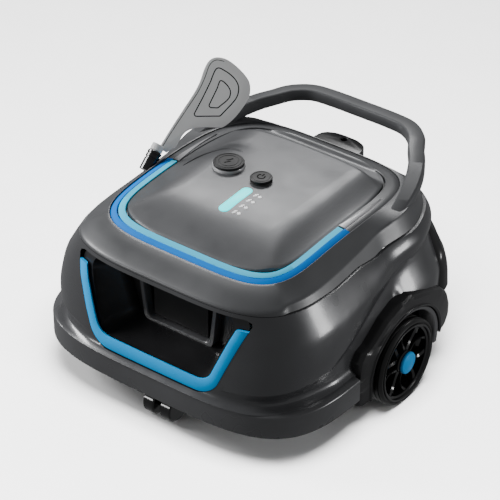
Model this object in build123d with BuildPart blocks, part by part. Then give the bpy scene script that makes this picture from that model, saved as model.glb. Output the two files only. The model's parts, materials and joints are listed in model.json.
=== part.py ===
from build123d import *
import math
import os

# Cordless jet-propelled pool cleaner. Millimetres, +Z up, -Y is the front, the floor is z = 0.
# The origin is on the floor, under the middle of the cleaner's length and width.

# ---- driving dimensions ----
WALL = 3.0                  # moulded wall thickness
GAP = 0.3                   # clearance between pieces of one body
RUN = 0.05                  # radial running clearance of shafts and pins
PLAN_CENTRE = -40.0         # y where the plan outline is widest
PLAN_POWER = 4.0            # squareness of the corners of the lower outline in plan
BEZEL_POWER = 4.5           # squareness of the corners of hood and bezel in plan

BASE_Z = 36.0               # underside of the base plate
BASE_T = 4.0
BASE_PLAN = (170.7, -187.7, 139.7)      # half width, front y, rear y
SKIRT_Z0 = 40.0
SKIRT_Z1 = 69.0
SKIRT_PLAN = (186.0, -201.5, 150.0)
SKIRT_INSIDE = (171.0, -188.0, 140.0)
# upper shell sections: height, half width, front y, rear y
SHELL = [(69.3, 178.5, -196.5, 147.0), (110.0, 175.0, -192.5, 148.0), (145.0, 166.5, -187.5, 147.5),
         (176.0, 151.5, -180.0, 145.0)]
# rail ring above the shell, up to the bezel
RAIL = [(176.3, 151.4, -179.8, 144.9), (182.0, 148.5, -176.0, 143.5), (195.0, 126.0, -146.0, 138.5)]
BEZEL_OUT = (125.0, -144.5, 137.5)
BEZEL_MID = (117.5, -136.5, 130.5)
BEZEL_IN = (110.0, -128.5, 123.5)
HOOD_PLAN = (109.7, -128.2, 123.2)
CROWN_Y = 0.0               # top line of the domed hood edge
CROWN_Z = 202.0
CROWN_R = 1050.0            # radius of the dome seen from the side
STRIP_END_Y = -8.0          # where the blue accent strip ends on each side
HOOD_TOP = 215.5

WHEEL_Y = 5.0
WHEEL_R = 51.0
WHEEL_X0 = 168.0            # inner face of a rear wheel
WHEEL_X1 = 197.0            # outer face of a rear wheel
AXLE_R = 5.0
FENDER_X0 = 157.0
FENDER_X1 = 188.0
ARCH = (15.5, 50.0, 65.0, 57.0)         # wheel arch ellipse: y, z, half length, half height

CASTER_Y = -160.0           # swivel axis of the front caster
CASTER_TRAIL = 14.0
CASTER_R = 16.0
CASTER_HALF = 19.0
BOSS_TOP = 60.0             # top of the caster's swivel boss

MOUTH_TOP = 170.5           # front opening, top edge
MOUTH_LOW = 82.0
MOUTH_HALF_TOP = 108.0
MOUTH_HALF_LOW = 70.0
TRIM_W = 10.0
TRIM_TOP = 162.0
NOZZLE_HALF = 38.0
NOZZLE_Z = (100.0, 150.0)
NOZZLE_Y = -138.0           # plane of the front nozzle frame
REAR_NOZZLE_Y = 116.0
REAR_MOUTH = (68.0, 90.0, 156.0)        # half width, low z, high z
REAR_PIN_Z = 146.0

JET_Z = 125.0               # height of both jet pump axes
CAP_XY = (-47.0, 3.0)       # charge port
BUTTON_XY = (0.0, 0.0)
LED_Y = (-74.0, -28.0)
VANE_FOOT = (-136.0, -25.0, 200.0)      # foot of the vane's stem on the left rail
VANE_LEAN = 42.0            # stem angle above the horizontal
VANE_TURN = 34.0            # the flag's turn about its stem, towards the hood
POSTS = [(x, y) for x in (-118, 118) for y in (-118, 112)]     # screw posts between base and shell
POST_R = 6.0
SCREW_HOLE_R = 1.6          # clearance hole in the base's posts
SCREW_PILOT_R = 1.5         # pilot hole in the shell's posts
SCREW_HEAD_R = 4.5          # counterbore for a screw head

SLOT_X = 62.0               # suction slots lie this far either side of the middle
SLOT_Y = 5.0
SLOT_SIZE = (64.0, 22.0)
SUCTION_PIN_Y = 20.0
SUCTION_PIN_Z = 49.0
PIN_R = 1.5                 # hinge pins of all flaps
PIN_HEAD = 4.0

PUMP_R = 30.0
PUMP_BORE_R = 27.0
PUMP_LENGTH = 32.0
INLET_R = 11.0
MOTOR_R = 19.0
SHAFT_R = 2.0
BLADES = 4
CELL_R = 9.2
CELL_LENGTH = 62.0
CELL_Z = 169.2

CASTER_STEM_R = 5.0
CASTER_BUSH_R = 7.0
CASTER_PIN_R = 3.0

RIM_R = 46.0
RIM_INNER_R = 42.0
HUB_R = 13.0
SPOKES = 10
CAP_R = 17.2                # charge cap
BUTTON_R = 10.9
SEAL_R = 12.4
LENS_W = 10.0
TRAY_WALL = 2.4
SCREEN_PITCH = 12.0
SCREEN_HOLE = 9.0

os.makedirs("parts", exist_ok=True)


def save(builder, name):
    """Label a finished piece and write it to its own file."""
    builder.part.label = name
    export_step(builder.part, "parts/" + name + ".step")


def plan_points(half_width, front, rear, count=56):
    """Points of the cleaner's rounded plan outline, two half superellipses that share one width."""
    points = []
    for index in range(count):
        angle = 2 * math.pi * index / count
        along, across = math.sin(angle), math.cos(angle)
        length = (rear - PLAN_CENTRE) if along > 0 else (PLAN_CENTRE - front)
        power = BEZEL_POWER if half_width < 130 else PLAN_POWER
        reach = (abs(across / half_width) ** power + abs(along / length) ** power) ** (-1 / power)
        points.append((reach * across, PLAN_CENTRE + reach * along))
    return points


def plan_sketch(level, half_width, front, rear, inset=0.0):
    """The plan outline as a face at one height, drawn in by an inset."""
    with BuildSketch(Plane.XY.offset(level)) as outline:
        with BuildLine():
            Spline(*plan_points(half_width - inset, front + inset, rear - inset), periodic=True)
        make_face()
    return outline.sketch


def plan_block(low, high, plan, inset=0.0):
    """A straight-sided block of the plan outline."""
    with BuildPart() as block:
        extrude(plan_sketch(low, *plan, inset), amount=high - low, dir=(0, 0, 1))
    return block.part


def plan_loft(sections, inset=0.0, drop=0.0):
    """A smooth body through plan outlines at several heights."""
    with BuildPart() as body:
        loft([plan_sketch(level - drop, *plan, inset) for level, *plan in sections])
    return body.part


def box_part(low, high):
    """A plain box between two corners, used as a cutter."""
    size = [b - a for a, b in zip(low, high)]
    middle = [(a + b) / 2 for a, b in zip(low, high)]
    with BuildPart() as block:
        with Locations(tuple(middle)):
            Box(*size)
    return block.part


def mouth_sketch(plane_y, grow=0.0, top=MOUTH_TOP):
    """The front opening's trapezoid, seen from the front, with rounded lower corners."""
    slope = (MOUTH_HALF_TOP - MOUTH_HALF_LOW) / (MOUTH_TOP - MOUTH_LOW)
    half_top = MOUTH_HALF_LOW + slope * (top - MOUTH_LOW) + grow
    low = MOUTH_LOW - grow
    # Plane.XZ looks along -Y, so its local x is the cleaner's x and its local y is z.
    with BuildSketch(Plane.XZ.offset(-plane_y)) as outline:
        with BuildLine():
            Polyline((-half_top, top), (-MOUTH_HALF_LOW - grow, low), (MOUTH_HALF_LOW + grow, low),
                     (half_top, top), close=True)
        make_face()
        fillet(outline.vertices().group_by(Axis.Z)[0], max(14 + grow, 3))
    return outline.sketch


def fender_sketch(plane_x, shrink=0.0, arch=True):
    """Side outline of a wheel arch piece on a plane across X."""
    points = [(-68, 30), (-70, 44), (-64, 70), (-62, 96), (-46, 102), (-10, 116), (22, 120),
              (62, 107), (94, 92), (108, 74), (108, 52), (98, 44), (82, 44), (82, 38), (-48, 38), (-52, 30)]
    with BuildSketch(Plane.YZ.offset(plane_x)) as outline:
        with BuildLine():
            Polyline(*points, close=True)
        make_face()
        if arch:
            with Locations((ARCH[0], ARCH[1])):
                Ellipse(ARCH[2] - shrink, ARCH[3] - shrink, mode=Mode.SUBTRACT)
            with Locations((ARCH[0], 25)):
                Rectangle(2 * ARCH[2] - 1, 44, mode=Mode.SUBTRACT)
    return outline.sketch


# crown: a wide cylinder across X, whose top is the gentle side-to-side dome line of hood and bezel
def crown(drop):
    with BuildPart() as barrel:
        with Locations(Plane((0, CROWN_Y, CROWN_Z - CROWN_R - drop), z_dir=(1, 0, 0))):
            Cylinder(CROWN_R, 420)
    return barrel.part


well_cut = {}
for side, sign in (("right", 1), ("left", -1)):
    with BuildPart() as well:
        extrude(fender_sketch(sign * (FENDER_X0 - GAP), arch=False), amount=60 * sign, dir=(1, 0, 0))
        with Locations((sign * 190, 17, 25)):
            Box(2 * (190 - FENDER_X0 + GAP), 140, 50)
    well_cut[side] = well.part

# ---- base ----
with BuildPart() as base_chassis:
    add(plan_block(BASE_Z, 62, BASE_PLAN))
    add(plan_block(BASE_Z + BASE_T, 63, BASE_PLAN, WALL), mode=Mode.SUBTRACT)
    # swivel boss of the caster
    with Locations((0, CASTER_Y, (BASE_Z + BOSS_TOP) / 2)):
        Cylinder(11, BOSS_TOP - BASE_Z)
        Cylinder(CASTER_BUSH_R, 40, mode=Mode.SUBTRACT)
    # two suction slots in the floor
    with Locations((-SLOT_X, SLOT_Y, BASE_Z), (SLOT_X, SLOT_Y, BASE_Z)):
        Box(*SLOT_SIZE, 20, mode=Mode.SUBTRACT)
    # side brackets that carry the stub axles
    with Locations((-148, WHEEL_Y, 53), (148, WHEEL_Y, 53)):
        Box(14, 36, 34)
    add(well_cut["right"], mode=Mode.SUBTRACT)
    add(well_cut["left"], mode=Mode.SUBTRACT)
    with Locations(Plane((0, WHEEL_Y, WHEEL_R), z_dir=(1, 0, 0))):
        Cylinder(AXLE_R, 400, mode=Mode.SUBTRACT)
    # screw posts for the shell
    with Locations(*[(x, y, 54) for x, y in POSTS]):
        Cylinder(POST_R, 34)
        Cylinder(SCREW_HOLE_R, 60, mode=Mode.SUBTRACT)
    # counterbores for the screw heads
    with Locations(*[(x, y, BASE_Z + 1.5) for x, y in POSTS]):
        Cylinder(SCREW_HEAD_R, 4, mode=Mode.SUBTRACT)
save(base_chassis, "base_chassis")

for name, front in (("front_skirt", True), ("rear_skirt", False)):
    with BuildPart() as skirt:
        add(plan_block(SKIRT_Z0, SKIRT_Z1, SKIRT_PLAN))
        chamfer(skirt.edges().group_by(Axis.Z)[-1], 2.0)
        add(plan_block(SKIRT_Z0 - 1, SKIRT_Z1 + 1, SKIRT_INSIDE), mode=Mode.SUBTRACT)
        if front:
            add(box_part((-200, -70.5, 0), (200, 200, 90)), mode=Mode.SUBTRACT)
        else:
            add(box_part((-200, -250, 0), (200, 108.5, 90)), mode=Mode.SUBTRACT)
    save(skirt, name)

# ---- upper shell ----
with BuildPart() as upper_shell:
    add(plan_loft(SHELL))
    inner = [(SHELL[0][0] - 1, *SHELL[0][1:])] + SHELL[1:-1] + [(SHELL[-1][0] + 1, *SHELL[-1][1:])]
    add(plan_loft(inner, WALL), mode=Mode.SUBTRACT)
    extrude(mouth_sketch(-230), amount=-90, mode=Mode.SUBTRACT)
    extrude(mouth_sketch(-230, TRIM_W + GAP, TRIM_TOP), amount=-90, mode=Mode.SUBTRACT)
    add(box_part((-REAR_MOUTH[0], 130, REAR_MOUTH[1]), (REAR_MOUTH[0], 170, REAR_MOUTH[2])),
        mode=Mode.SUBTRACT)
    add(well_cut["right"], mode=Mode.SUBTRACT)
    add(well_cut["left"], mode=Mode.SUBTRACT)
    # inner posts that meet the base's screw posts, each tied to the wall by a rib
    with Locations(*[(x, y, 92) for x, y in POSTS]):
        Cylinder(POST_R, 41)
    for x, y in POSTS:
        wall_y = -176.5 if y < 0 else 138.5
        with Locations((x, (y + wall_y) / 2, 92)):
            Box(3, abs(wall_y - y), 40)
    with Locations(*[(x, y, 92) for x, y in POSTS]):
        Cylinder(SCREW_PILOT_R, 60, mode=Mode.SUBTRACT)
save(upper_shell, "upper_shell")

# ---- blue trim around the front opening ----
with BuildPart() as front_opening_trim:
    extrude(mouth_sketch(-230, TRIM_W, TRIM_TOP), amount=-90)
    extrude(mouth_sketch(-231), amount=-94, mode=Mode.SUBTRACT)
    add(plan_loft(SHELL, -0.8), mode=Mode.INTERSECT)
    add(plan_loft(inner, WALL), mode=Mode.SUBTRACT)
save(front_opening_trim, "front_opening_trim")


# ---- rail ring with the carrying handle ----
def handle_solid():
    """The handle: its plan U and its side band, cut one by the other."""
    with BuildPart() as handle:
        with BuildSketch(Plane.XY.offset(150)):
            with BuildLine():
                Polyline((-147, 30), (-146, 60), (-140, 88), (-130, 113), (-119, 138), (-108, 158),
                         (-97, 178), (-78, 195), (-52, 201.5), (52, 201.5), (78, 195), (97, 178), (108, 158),
                         (119, 138), (130, 113), (140, 88), (146, 60), (147, 30), close=True)
            make_face()
            with BuildLine():
                Polyline((-122, 20), (-120, 70), (-109, 110), (-99, 131), (-89, 149), (-79, 165), (-64, 178),
                         (-45, 181), (45, 181), (64, 178), (79, 165), (89, 149), (99, 131), (109, 110),
                         (120, 70), (122, 20), close=True)
            make_face(mode=Mode.SUBTRACT)
        extrude(amount=110)
        with BuildSketch(Plane.YZ.offset(-200)):
            with BuildLine():
                Polyline((35, 180), (50, 189), (80, 198), (112, 211.5), (138, 217.5), (168, 221.5),
                         (190, 222), (202, 218), (202, 209), (190, 206.5), (168, 205), (138, 199),
                         (112, 188), (96, 176), close=True)
            make_face()
        extrude(amount=400, mode=Mode.INTERSECT)
    return handle.part


with BuildPart() as handle_frame:
    add(plan_loft(RAIL))
    add(handle_solid())
    below = [(RAIL[0][0] - 1, *RAIL[0][1:])] + RAIL[1:]
    add(plan_loft(below, WALL, 3.2), mode=Mode.SUBTRACT)
    add(plan_block(165, 230, BEZEL_OUT, -GAP), mode=Mode.SUBTRACT)
    # seat for the vane's socket
    lean_axis = (0, math.cos(math.radians(VANE_LEAN)), math.sin(math.radians(VANE_LEAN)))
    with Locations(Plane(VANE_FOOT, z_dir=lean_axis)):
        Cylinder(8.0 + GAP, 26, mode=Mode.SUBTRACT)
save(handle_frame, "handle_frame")
print("handle_frame solids", len(handle_frame.part.solids()))

# ---- bezel ring around the hood: blue strips in front, grey ring behind ----
for name, outside, inside, keep_front in (
    ("accent_strip_dark", BEZEL_OUT, BEZEL_MID, True),
    ("accent_strip_light", BEZEL_MID, BEZEL_IN, True),
    ("rear_trim_strip", BEZEL_OUT, BEZEL_IN, False),
):
    with BuildPart() as ring:
        add(plan_block(180, 215, outside, GAP / 2))
        add(plan_block(179, 216, inside, -GAP / 2), mode=Mode.SUBTRACT)
        add(crown(0), mode=Mode.INTERSECT)
        add(crown(5), mode=Mode.SUBTRACT)
        if keep_front:
            add(box_part((-200, STRIP_END_Y, 150), (200, 250, 250)), mode=Mode.SUBTRACT)
        else:
            add(box_part((-200, -250, 150), (200, STRIP_END_Y + GAP, 250)), mode=Mode.SUBTRACT)
    save(ring, name)

# carrier ring under the bezel, which joins the rail ring to the hood
with BuildPart() as bezel_carrier:
    add(plan_block(175, 215, BEZEL_OUT, GAP / 2))
    add(plan_block(174, 216, HOOD_PLAN, 4), mode=Mode.SUBTRACT)
    add(crown(5 + GAP), mode=Mode.INTERSECT)
    add(crown(9), mode=Mode.SUBTRACT)
save(bezel_carrier, "bezel_carrier")

# ---- hood ----
HOOD = [(185, *HOOD_PLAN), (201, *HOOD_PLAN), (210, 88, -104, 96), (HOOD_TOP, 50, -70, 60)]
with BuildPart() as hood_cover:
    loft([plan_sketch(level, *plan) for level, *plan in HOOD[1:]])
    add(plan_block(HOOD[0][0], HOOD[1][0], HOOD_PLAN))
    inside = [(level - WALL, *plan) for level, *plan in HOOD[1:]]
    add(plan_loft(inside, WALL), mode=Mode.SUBTRACT)
    add(plan_block(HOOD[0][0] - 1, HOOD[1][0] - WALL, HOOD_PLAN, WALL), mode=Mode.SUBTRACT)
    # the lower edge follows the dome line of the carrier ring
    add(crown(5), mode=Mode.SUBTRACT)
    with Locations((*CAP_XY, 205)):
        Cylinder(15.5, 60, mode=Mode.SUBTRACT)
    with Locations((*BUTTON_XY, 205)):
        Cylinder(12.7, 60, mode=Mode.SUBTRACT)
    with BuildSketch(Plane.XY.offset(180)):
        with Locations((0, sum(LED_Y) / 2)):
            SlotOverall(LED_Y[1] - LED_Y[0] + 0.4, 10.4, rotation=90)
    extrude(amount=60, mode=Mode.SUBTRACT)
save(hood_cover, "hood_cover")
print("hood_cover solids", len(hood_cover.part.solids()))

# ---- charge port, cap, button and level lens ----
TOP = HOOD_TOP              # the parts in the hood's top are measured from its plateau
with BuildPart() as charge_socket:
    with Locations((*CAP_XY, TOP - 11.5)):
        Cylinder(15.2, 21)
    with Locations((*CAP_XY, TOP - 12)):
        Cylinder(19.0, 3)
    with Locations((*CAP_XY, TOP - 5)):
        Cylinder(12.0, 22, mode=Mode.SUBTRACT)
    # two contact pins
    with Locations((CAP_XY[0] - 5, CAP_XY[1], TOP - 14), (CAP_XY[0] + 5, CAP_XY[1], TOP - 14)):
        Cylinder(1.5, 8)
save(charge_socket, "charge_socket")

with BuildPart() as charge_cap:
    with BuildSketch(Plane.XZ):
        with BuildLine():
            Polyline((0, TOP - 9), (11.8, TOP - 9), (11.8, TOP + 1), (CAP_R - 1, TOP + 1), (CAP_R, TOP + 1.6),
                     (CAP_R, TOP + 3.6), (CAP_R - 1, TOP + 4.3), (13.6, TOP + 4.5), (13.6, TOP + 3.9),
                     (12, TOP + 3.9), (12, TOP + 4.6), (0, TOP + 4.7), close=True)
        make_face()
    revolve(axis=Axis.Z)
with BuildPart() as charge_cap_placed:
    with Locations(CAP_XY):
        add(charge_cap.part)
save(charge_cap_placed, "charge_cap")

with BuildPart() as power_button:
    with BuildSketch(Plane.XZ):
        with BuildLine():
            Polyline((0, TOP - 12), (5.4, TOP - 12), (5.4, TOP - 8), (BUTTON_R, TOP - 8),
                     (BUTTON_R, TOP + 1.2), (BUTTON_R - 0.9, TOP + 2.4), (7, TOP + 2.8),
                     (0, TOP + 2.6), close=True)
        make_face()
    revolve(axis=Axis.Z)
with BuildPart() as power_button_placed:
    with Locations(BUTTON_XY):
        add(power_button.part)
save(power_button_placed, "power_button")

with BuildPart() as button_seal:
    with Locations((*BUTTON_XY, TOP - 6)):
        Cylinder(SEAL_R, 12)
        Cylinder(BUTTON_R + RUN, 30, mode=Mode.SUBTRACT)
    with Locations((*BUTTON_XY, TOP - 13)):
        Cylinder(SEAL_R, 2)
        Cylinder(5.5, 30, mode=Mode.SUBTRACT)
save(button_seal, "button_seal")

with BuildPart() as led_lens:
    with BuildSketch(Plane.XY.offset(TOP - 8)):
        with Locations((0, sum(LED_Y) / 2)):
            SlotOverall(LED_Y[1] - LED_Y[0], LENS_W, rotation=90)
    extrude(amount=7.4)
    fillet(led_lens.edges().group_by(Axis.Z)[-1], 1.0)
save(led_lens, "led_lens")

# ---- sealed electronics under the hood ----
BOX_LOW, BOX_HIGH = (-84, -58, 156), (84, 58, 184)
with BuildPart() as electronics_box:
    add(box_part(BOX_LOW, BOX_HIGH))
    fillet(electronics_box.edges().filter_by(Axis.Z), 10)
    add(box_part([v + WALL for v in BOX_LOW], [BOX_HIGH[0] - WALL, BOX_HIGH[1] - WALL, BOX_HIGH[2] + 1]),
        mode=Mode.SUBTRACT)
save(electronics_box, "electronics_box")

with BuildPart() as electronics_lid:
    with BuildSketch(Plane.XY.offset(BOX_HIGH[2] + 1.5)):
        RectangleRounded(168, 116, 10)
    extrude(amount=3)
save(electronics_lid, "electronics_lid")

with BuildPart() as lid_seal:
    with BuildSketch(Plane.XY.offset(BOX_HIGH[2])):
        RectangleRounded(166, 114, 9)
        RectangleRounded(162.5, 110.5, 7.2, mode=Mode.SUBTRACT)
    extrude(amount=1.5)
save(lid_seal, "lid_seal")

# eight cells in two rows, held as one pack
with BuildPart() as battery_pack:
    with Locations(*[(x, y, CELL_Z) for x in (-35, 29) for y in (-35, -11.5, 12, 35.5)]):
        with Locations(Plane((0, 0, 0), z_dir=(1, 0, 0))):
            Cylinder(CELL_R, CELL_LENGTH)
    with Locations((-3, 0, 160.4)):
        Box(130, 92, 2)
save(battery_pack, "battery_pack")

with BuildPart() as control_board:
    with Locations((0, 0, 180)):
        Box(150, 98, 1.6)
    with Locations((-40, 20, 182), (10, -22, 182), (45, 15, 182)):
        Box(18, 14, 2.4)
save(control_board, "control_board")


# ---- jet pumps: housing, motor, impeller, outlet duct, flap and pin, front and rear ----
def tube_y(radius, bore, y0, y1, height=JET_Z):
    """A ring or rod along Y on the cleaner's centre plane."""
    with BuildPart() as tube:
        with Locations(Plane((0, (y0 + y1) / 2, height), z_dir=(0, 1, 0))):
            Cylinder(radius, y1 - y0)
            if bore:
                Cylinder(bore, y1 - y0 + 2, mode=Mode.SUBTRACT)
    return tube.part


for name, face_y, sign in (("front", NOZZLE_Y, 1), ("rear", REAR_NOZZLE_Y, -1)):
    near = face_y + sign * 2.6

    def span(a, b):
        """Two distances behind the nozzle plane as an ordered pair of y values."""
        return sorted((near + sign * a, near + sign * b))

    with BuildPart() as pump_housing:
        add(tube_y(PUMP_R, PUMP_BORE_R, *span(0, PUMP_LENGTH)))
        add(tube_y(PUMP_R, 8, *span(PUMP_LENGTH, PUMP_LENGTH + WALL)))
        # inlet pipe down to the filter chamber
        with Locations((0, near + sign * 17.5, 94.5)):
            Cylinder(INLET_R + WALL, 9)
            Cylinder(INLET_R, 40, mode=Mode.SUBTRACT)
        add(tube_y(PUMP_BORE_R, 0, *span(0, PUMP_LENGTH)), mode=Mode.SUBTRACT)
    save(pump_housing, name + "_pump_housing")

    with BuildPart() as pump_motor:
        add(tube_y(MOTOR_R, 0, *span(35.3, 66)))
        add(tube_y(7.7, 0, *span(31, 35.3)))
        add(tube_y(12, 0, *span(66, 70)))
        add(tube_y(SHAFT_R + RUN, 0, *span(30, 60)), mode=Mode.SUBTRACT)
    save(pump_motor, name + "_pump_motor")

    with BuildPart() as impeller:
        add(tube_y(6, 0, *span(6, 28)))
        with Locations(Plane((0, near + sign * 17, JET_Z), z_dir=(0, 1, 0))):
            with PolarLocations(14, BLADES):
                Box(21, 2.2, 16, rotation=(32, 0, 0))
        add(tube_y(SHAFT_R, 0, *span(20, 58)))
    save(impeller, name + "_impeller")

with BuildPart() as front_outlet_duct:
    loft([mouth_sketch(-176, -1.6, MOUTH_TOP - 2), mouth_sketch(NOZZLE_Y, -9, MOUTH_TOP - 10)])
    duct_ends = [mouth_sketch(-176.1, -4.0, MOUTH_TOP - 4.5),
                 mouth_sketch(NOZZLE_Y - 2.5, -11.5, MOUTH_TOP - 12.5)]
    loft(duct_ends, mode=Mode.SUBTRACT)
    add(box_part((-NOZZLE_HALF, -160, NOZZLE_Z[0]), (NOZZLE_HALF, -120, NOZZLE_Z[1])), mode=Mode.SUBTRACT)
    # raised frame around the nozzle, with lugs for the flap's pin
    add(box_part((-NOZZLE_HALF - 5, NOZZLE_Y - 8, NOZZLE_Z[0] - 4),
                 (NOZZLE_HALF + 5, NOZZLE_Y, NOZZLE_Z[1] + 8)))
    add(box_part((-NOZZLE_HALF, -160, NOZZLE_Z[0]), (NOZZLE_HALF, -120, NOZZLE_Z[1] + 4)),
        mode=Mode.SUBTRACT)
    with Locations(Plane((0, NOZZLE_Y - 4, NOZZLE_Z[1]), z_dir=(1, 0, 0))):
        Cylinder(PIN_R, 2 * NOZZLE_HALF + 2 * PIN_HEAD, mode=Mode.SUBTRACT)
save(front_outlet_duct, "front_outlet_duct")

with BuildPart() as rear_outlet_duct:
    low = (-REAR_MOUTH[0] + GAP, REAR_NOZZLE_Y, REAR_MOUTH[1] + GAP)
    high = (REAR_MOUTH[0] - GAP, 146, REAR_MOUTH[2] - GAP)
    add(box_part(low, high))
    add(box_part([low[0] + 2.5, low[1] + 2.5, low[2] + 2.5], [high[0] - 2.5, 160, high[2] - 2.5]),
        mode=Mode.SUBTRACT)
    add(box_part((-NOZZLE_HALF - 5, REAR_NOZZLE_Y, NOZZLE_Z[0] - 4),
                 (NOZZLE_HALF + 5, REAR_NOZZLE_Y + 8, high[2] - 1)))
    add(box_part((-NOZZLE_HALF, 110, NOZZLE_Z[0]), (NOZZLE_HALF, 140, REAR_PIN_Z + 4)), mode=Mode.SUBTRACT)
    with Locations(Plane((0, REAR_NOZZLE_Y + 4, REAR_PIN_Z), z_dir=(1, 0, 0))):
        Cylinder(PIN_R, 2 * NOZZLE_HALF + 2 * PIN_HEAD, mode=Mode.SUBTRACT)
save(rear_outlet_duct, "rear_outlet_duct")

with BuildPart() as rear_opening_trim:
    add(box_part((-78, 130, 80), (78, 156, 166)))
    fillet(rear_opening_trim.edges().filter_by(Axis.Y), 10)
    add(box_part((-REAR_MOUTH[0], 120, REAR_MOUTH[1]), (REAR_MOUTH[0], 170, REAR_MOUTH[2])),
        mode=Mode.SUBTRACT)
    add(plan_loft(SHELL, -1.2), mode=Mode.INTERSECT)
    add(plan_loft(SHELL, -0.02), mode=Mode.SUBTRACT)
save(rear_opening_trim, "rear_opening_trim")

flap_places = (("front", NOZZLE_Y - 4, NOZZLE_Z[1]), ("rear", REAR_NOZZLE_Y + 4, REAR_PIN_Z))
with BuildPart() as flap_pins:
    with Locations(*[Plane((0, pin_y, pin_z), z_dir=(1, 0, 0)) for _, pin_y, pin_z in flap_places]):
        Cylinder(PIN_R, 2 * NOZZLE_HALF + PIN_HEAD)
save(flap_pins, "flap_pins")

for name, pin_y, pin_z in flap_places:
    with BuildPart() as outlet_flap:
        with Locations(Plane((0, pin_y, pin_z), z_dir=(1, 0, 0))):
            Cylinder(3.2, 2 * NOZZLE_HALF - 2)
        with Locations((0, pin_y, (pin_z + NOZZLE_Z[0] + 1) / 2)):
            Box(2 * NOZZLE_HALF - 2, 2.4, pin_z - NOZZLE_Z[0] - 1)
        with Locations(Plane((0, pin_y, pin_z), z_dir=(1, 0, 0))):
            Cylinder(PIN_R + RUN, 90, mode=Mode.SUBTRACT)
    save(outlet_flap, name + "_outlet_flap")

# ---- filter chamber over the suction slots ----
TRAY_LOW, TRAY_HIGH = (-106, -92, 42), (106, 86, 86)
with BuildPart() as filter_tray:
    add(box_part(TRAY_LOW, TRAY_HIGH))
    fillet(filter_tray.edges().filter_by(Axis.Z), 12)
    tray_inner_high = [TRAY_HIGH[0] - TRAY_WALL, TRAY_HIGH[1] - TRAY_WALL, 100]
    add(box_part([v + TRAY_WALL for v in TRAY_LOW], tray_inner_high), mode=Mode.SUBTRACT)
    with Locations((-SLOT_X, SLOT_Y, 43), (SLOT_X, SLOT_Y, 43)):
        Box(*SLOT_SIZE, 10, mode=Mode.SUBTRACT)
    # lugs for the suction flap pins
    lug_x = [x + dx for x in (-SLOT_X, SLOT_X) for dx in (-34, 34)]
    with Locations(*[(x, SUCTION_PIN_Y, SUCTION_PIN_Z - 1) for x in lug_x]):
        Box(3, 8, 8)
    with Locations(Plane((0, SUCTION_PIN_Y, SUCTION_PIN_Z), z_dir=(1, 0, 0))):
        Cylinder(PIN_R, 240, mode=Mode.SUBTRACT)
save(filter_tray, "filter_tray")

with BuildPart() as filter_screen:
    add(box_part((-108, -94, 86.3), (108, 88, 89.3)))
    fillet(filter_screen.edges().filter_by(Axis.Z), 12)
    with GridLocations(SCREEN_PITCH, SCREEN_PITCH, 17, 14):
        Box(SCREEN_HOLE, SCREEN_HOLE, 300, mode=Mode.SUBTRACT)
save(filter_screen, "filter_screen")

for name, x in (("left", -SLOT_X), ("right", SLOT_X)):
    with BuildPart() as suction_flap:
        with Locations(Plane((x, SUCTION_PIN_Y, SUCTION_PIN_Z), z_dir=(1, 0, 0))):
            Cylinder(2 * PIN_R, SLOT_SIZE[0] - 1)
        with Locations((x, SUCTION_PIN_Y - 13.5, SUCTION_PIN_Z)):
            Box(SLOT_SIZE[0] - 1, 27, 2.0)
        with Locations(Plane((x, SUCTION_PIN_Y, SUCTION_PIN_Z), z_dir=(1, 0, 0))):
            Cylinder(PIN_R + RUN, 90, mode=Mode.SUBTRACT)
    save(suction_flap, "suction_flap_" + name)

with BuildPart() as suction_pins:
    with Locations(*[Plane((x, SUCTION_PIN_Y, SUCTION_PIN_Z), z_dir=(1, 0, 0)) for x in (-SLOT_X, SLOT_X)]):
        Cylinder(PIN_R, 71)
save(suction_pins, "suction_pins")

# ---- brush strip under the front edge ----
with BuildPart() as brush_strip:
    with Locations((-80, -172, BASE_Z - 1.5), (80, -172, BASE_Z - 1.5)):
        Box(84, 8, 3)
    with Locations(*[(side * (42 + 8 * i), -172, BASE_Z - 7) for side in (-1, 1) for i in range(10)]):
        Cylinder(2.4, 9)
save(brush_strip, "brush_strip")

# ---- front caster ----
with BuildPart() as caster_bush:
    with Locations((0, CASTER_Y, (BASE_Z + BOSS_TOP) / 2)):
        Cylinder(CASTER_BUSH_R, BOSS_TOP - BASE_Z)
        Cylinder(CASTER_STEM_R + RUN, 30, mode=Mode.SUBTRACT)
save(caster_bush, "caster_bush")

wheel_cy = CASTER_Y - CASTER_TRAIL
with BuildPart() as caster_fork:
    with Locations((0, CASTER_Y, (BASE_Z + BOSS_TOP) / 2 - 1)):
        Cylinder(CASTER_STEM_R, BOSS_TOP - BASE_Z + 3)
    with Locations((0, CASTER_Y, BASE_Z - 2)):
        Cylinder(10, 3)
    with Locations((0, CASTER_Y - CASTER_TRAIL / 2, BASE_Z - 2)):
        Box(7, CASTER_TRAIL, 3)
    with Locations((0, wheel_cy, (BASE_Z - 0.5 + CASTER_R) / 2)):
        Box(7, 11, BASE_Z - 0.5 - CASTER_R)
    with Locations(Plane((0, wheel_cy, CASTER_R), z_dir=(1, 0, 0))):
        Cylinder(2 * CASTER_PIN_R, 7)
        Cylinder(CASTER_PIN_R, 30, mode=Mode.SUBTRACT)
save(caster_fork, "caster_fork")

with BuildPart() as caster_clip:
    with Locations((0, CASTER_Y, BOSS_TOP + 2)):
        Cylinder(8.0, 3)
save(caster_clip, "caster_clip")

with BuildPart() as caster_wheels:
    with Locations(Plane((0, wheel_cy, CASTER_R), z_dir=(1, 0, 0))):
        Cylinder(CASTER_PIN_R - RUN, 12)
        for sign in (-1, 1):
            with Locations((0, 0, sign * (4.2 + CASTER_HALF) / 2)):
                Cylinder(CASTER_R, CASTER_HALF - 4.2)
    caster_rims = caster_wheels.edges().filter_by(GeomType.CIRCLE)
    chamfer(caster_rims.filter_by(lambda e: e.radius > CASTER_R - 0.1), 1.5)
save(caster_wheels, "caster_wheels")

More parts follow.
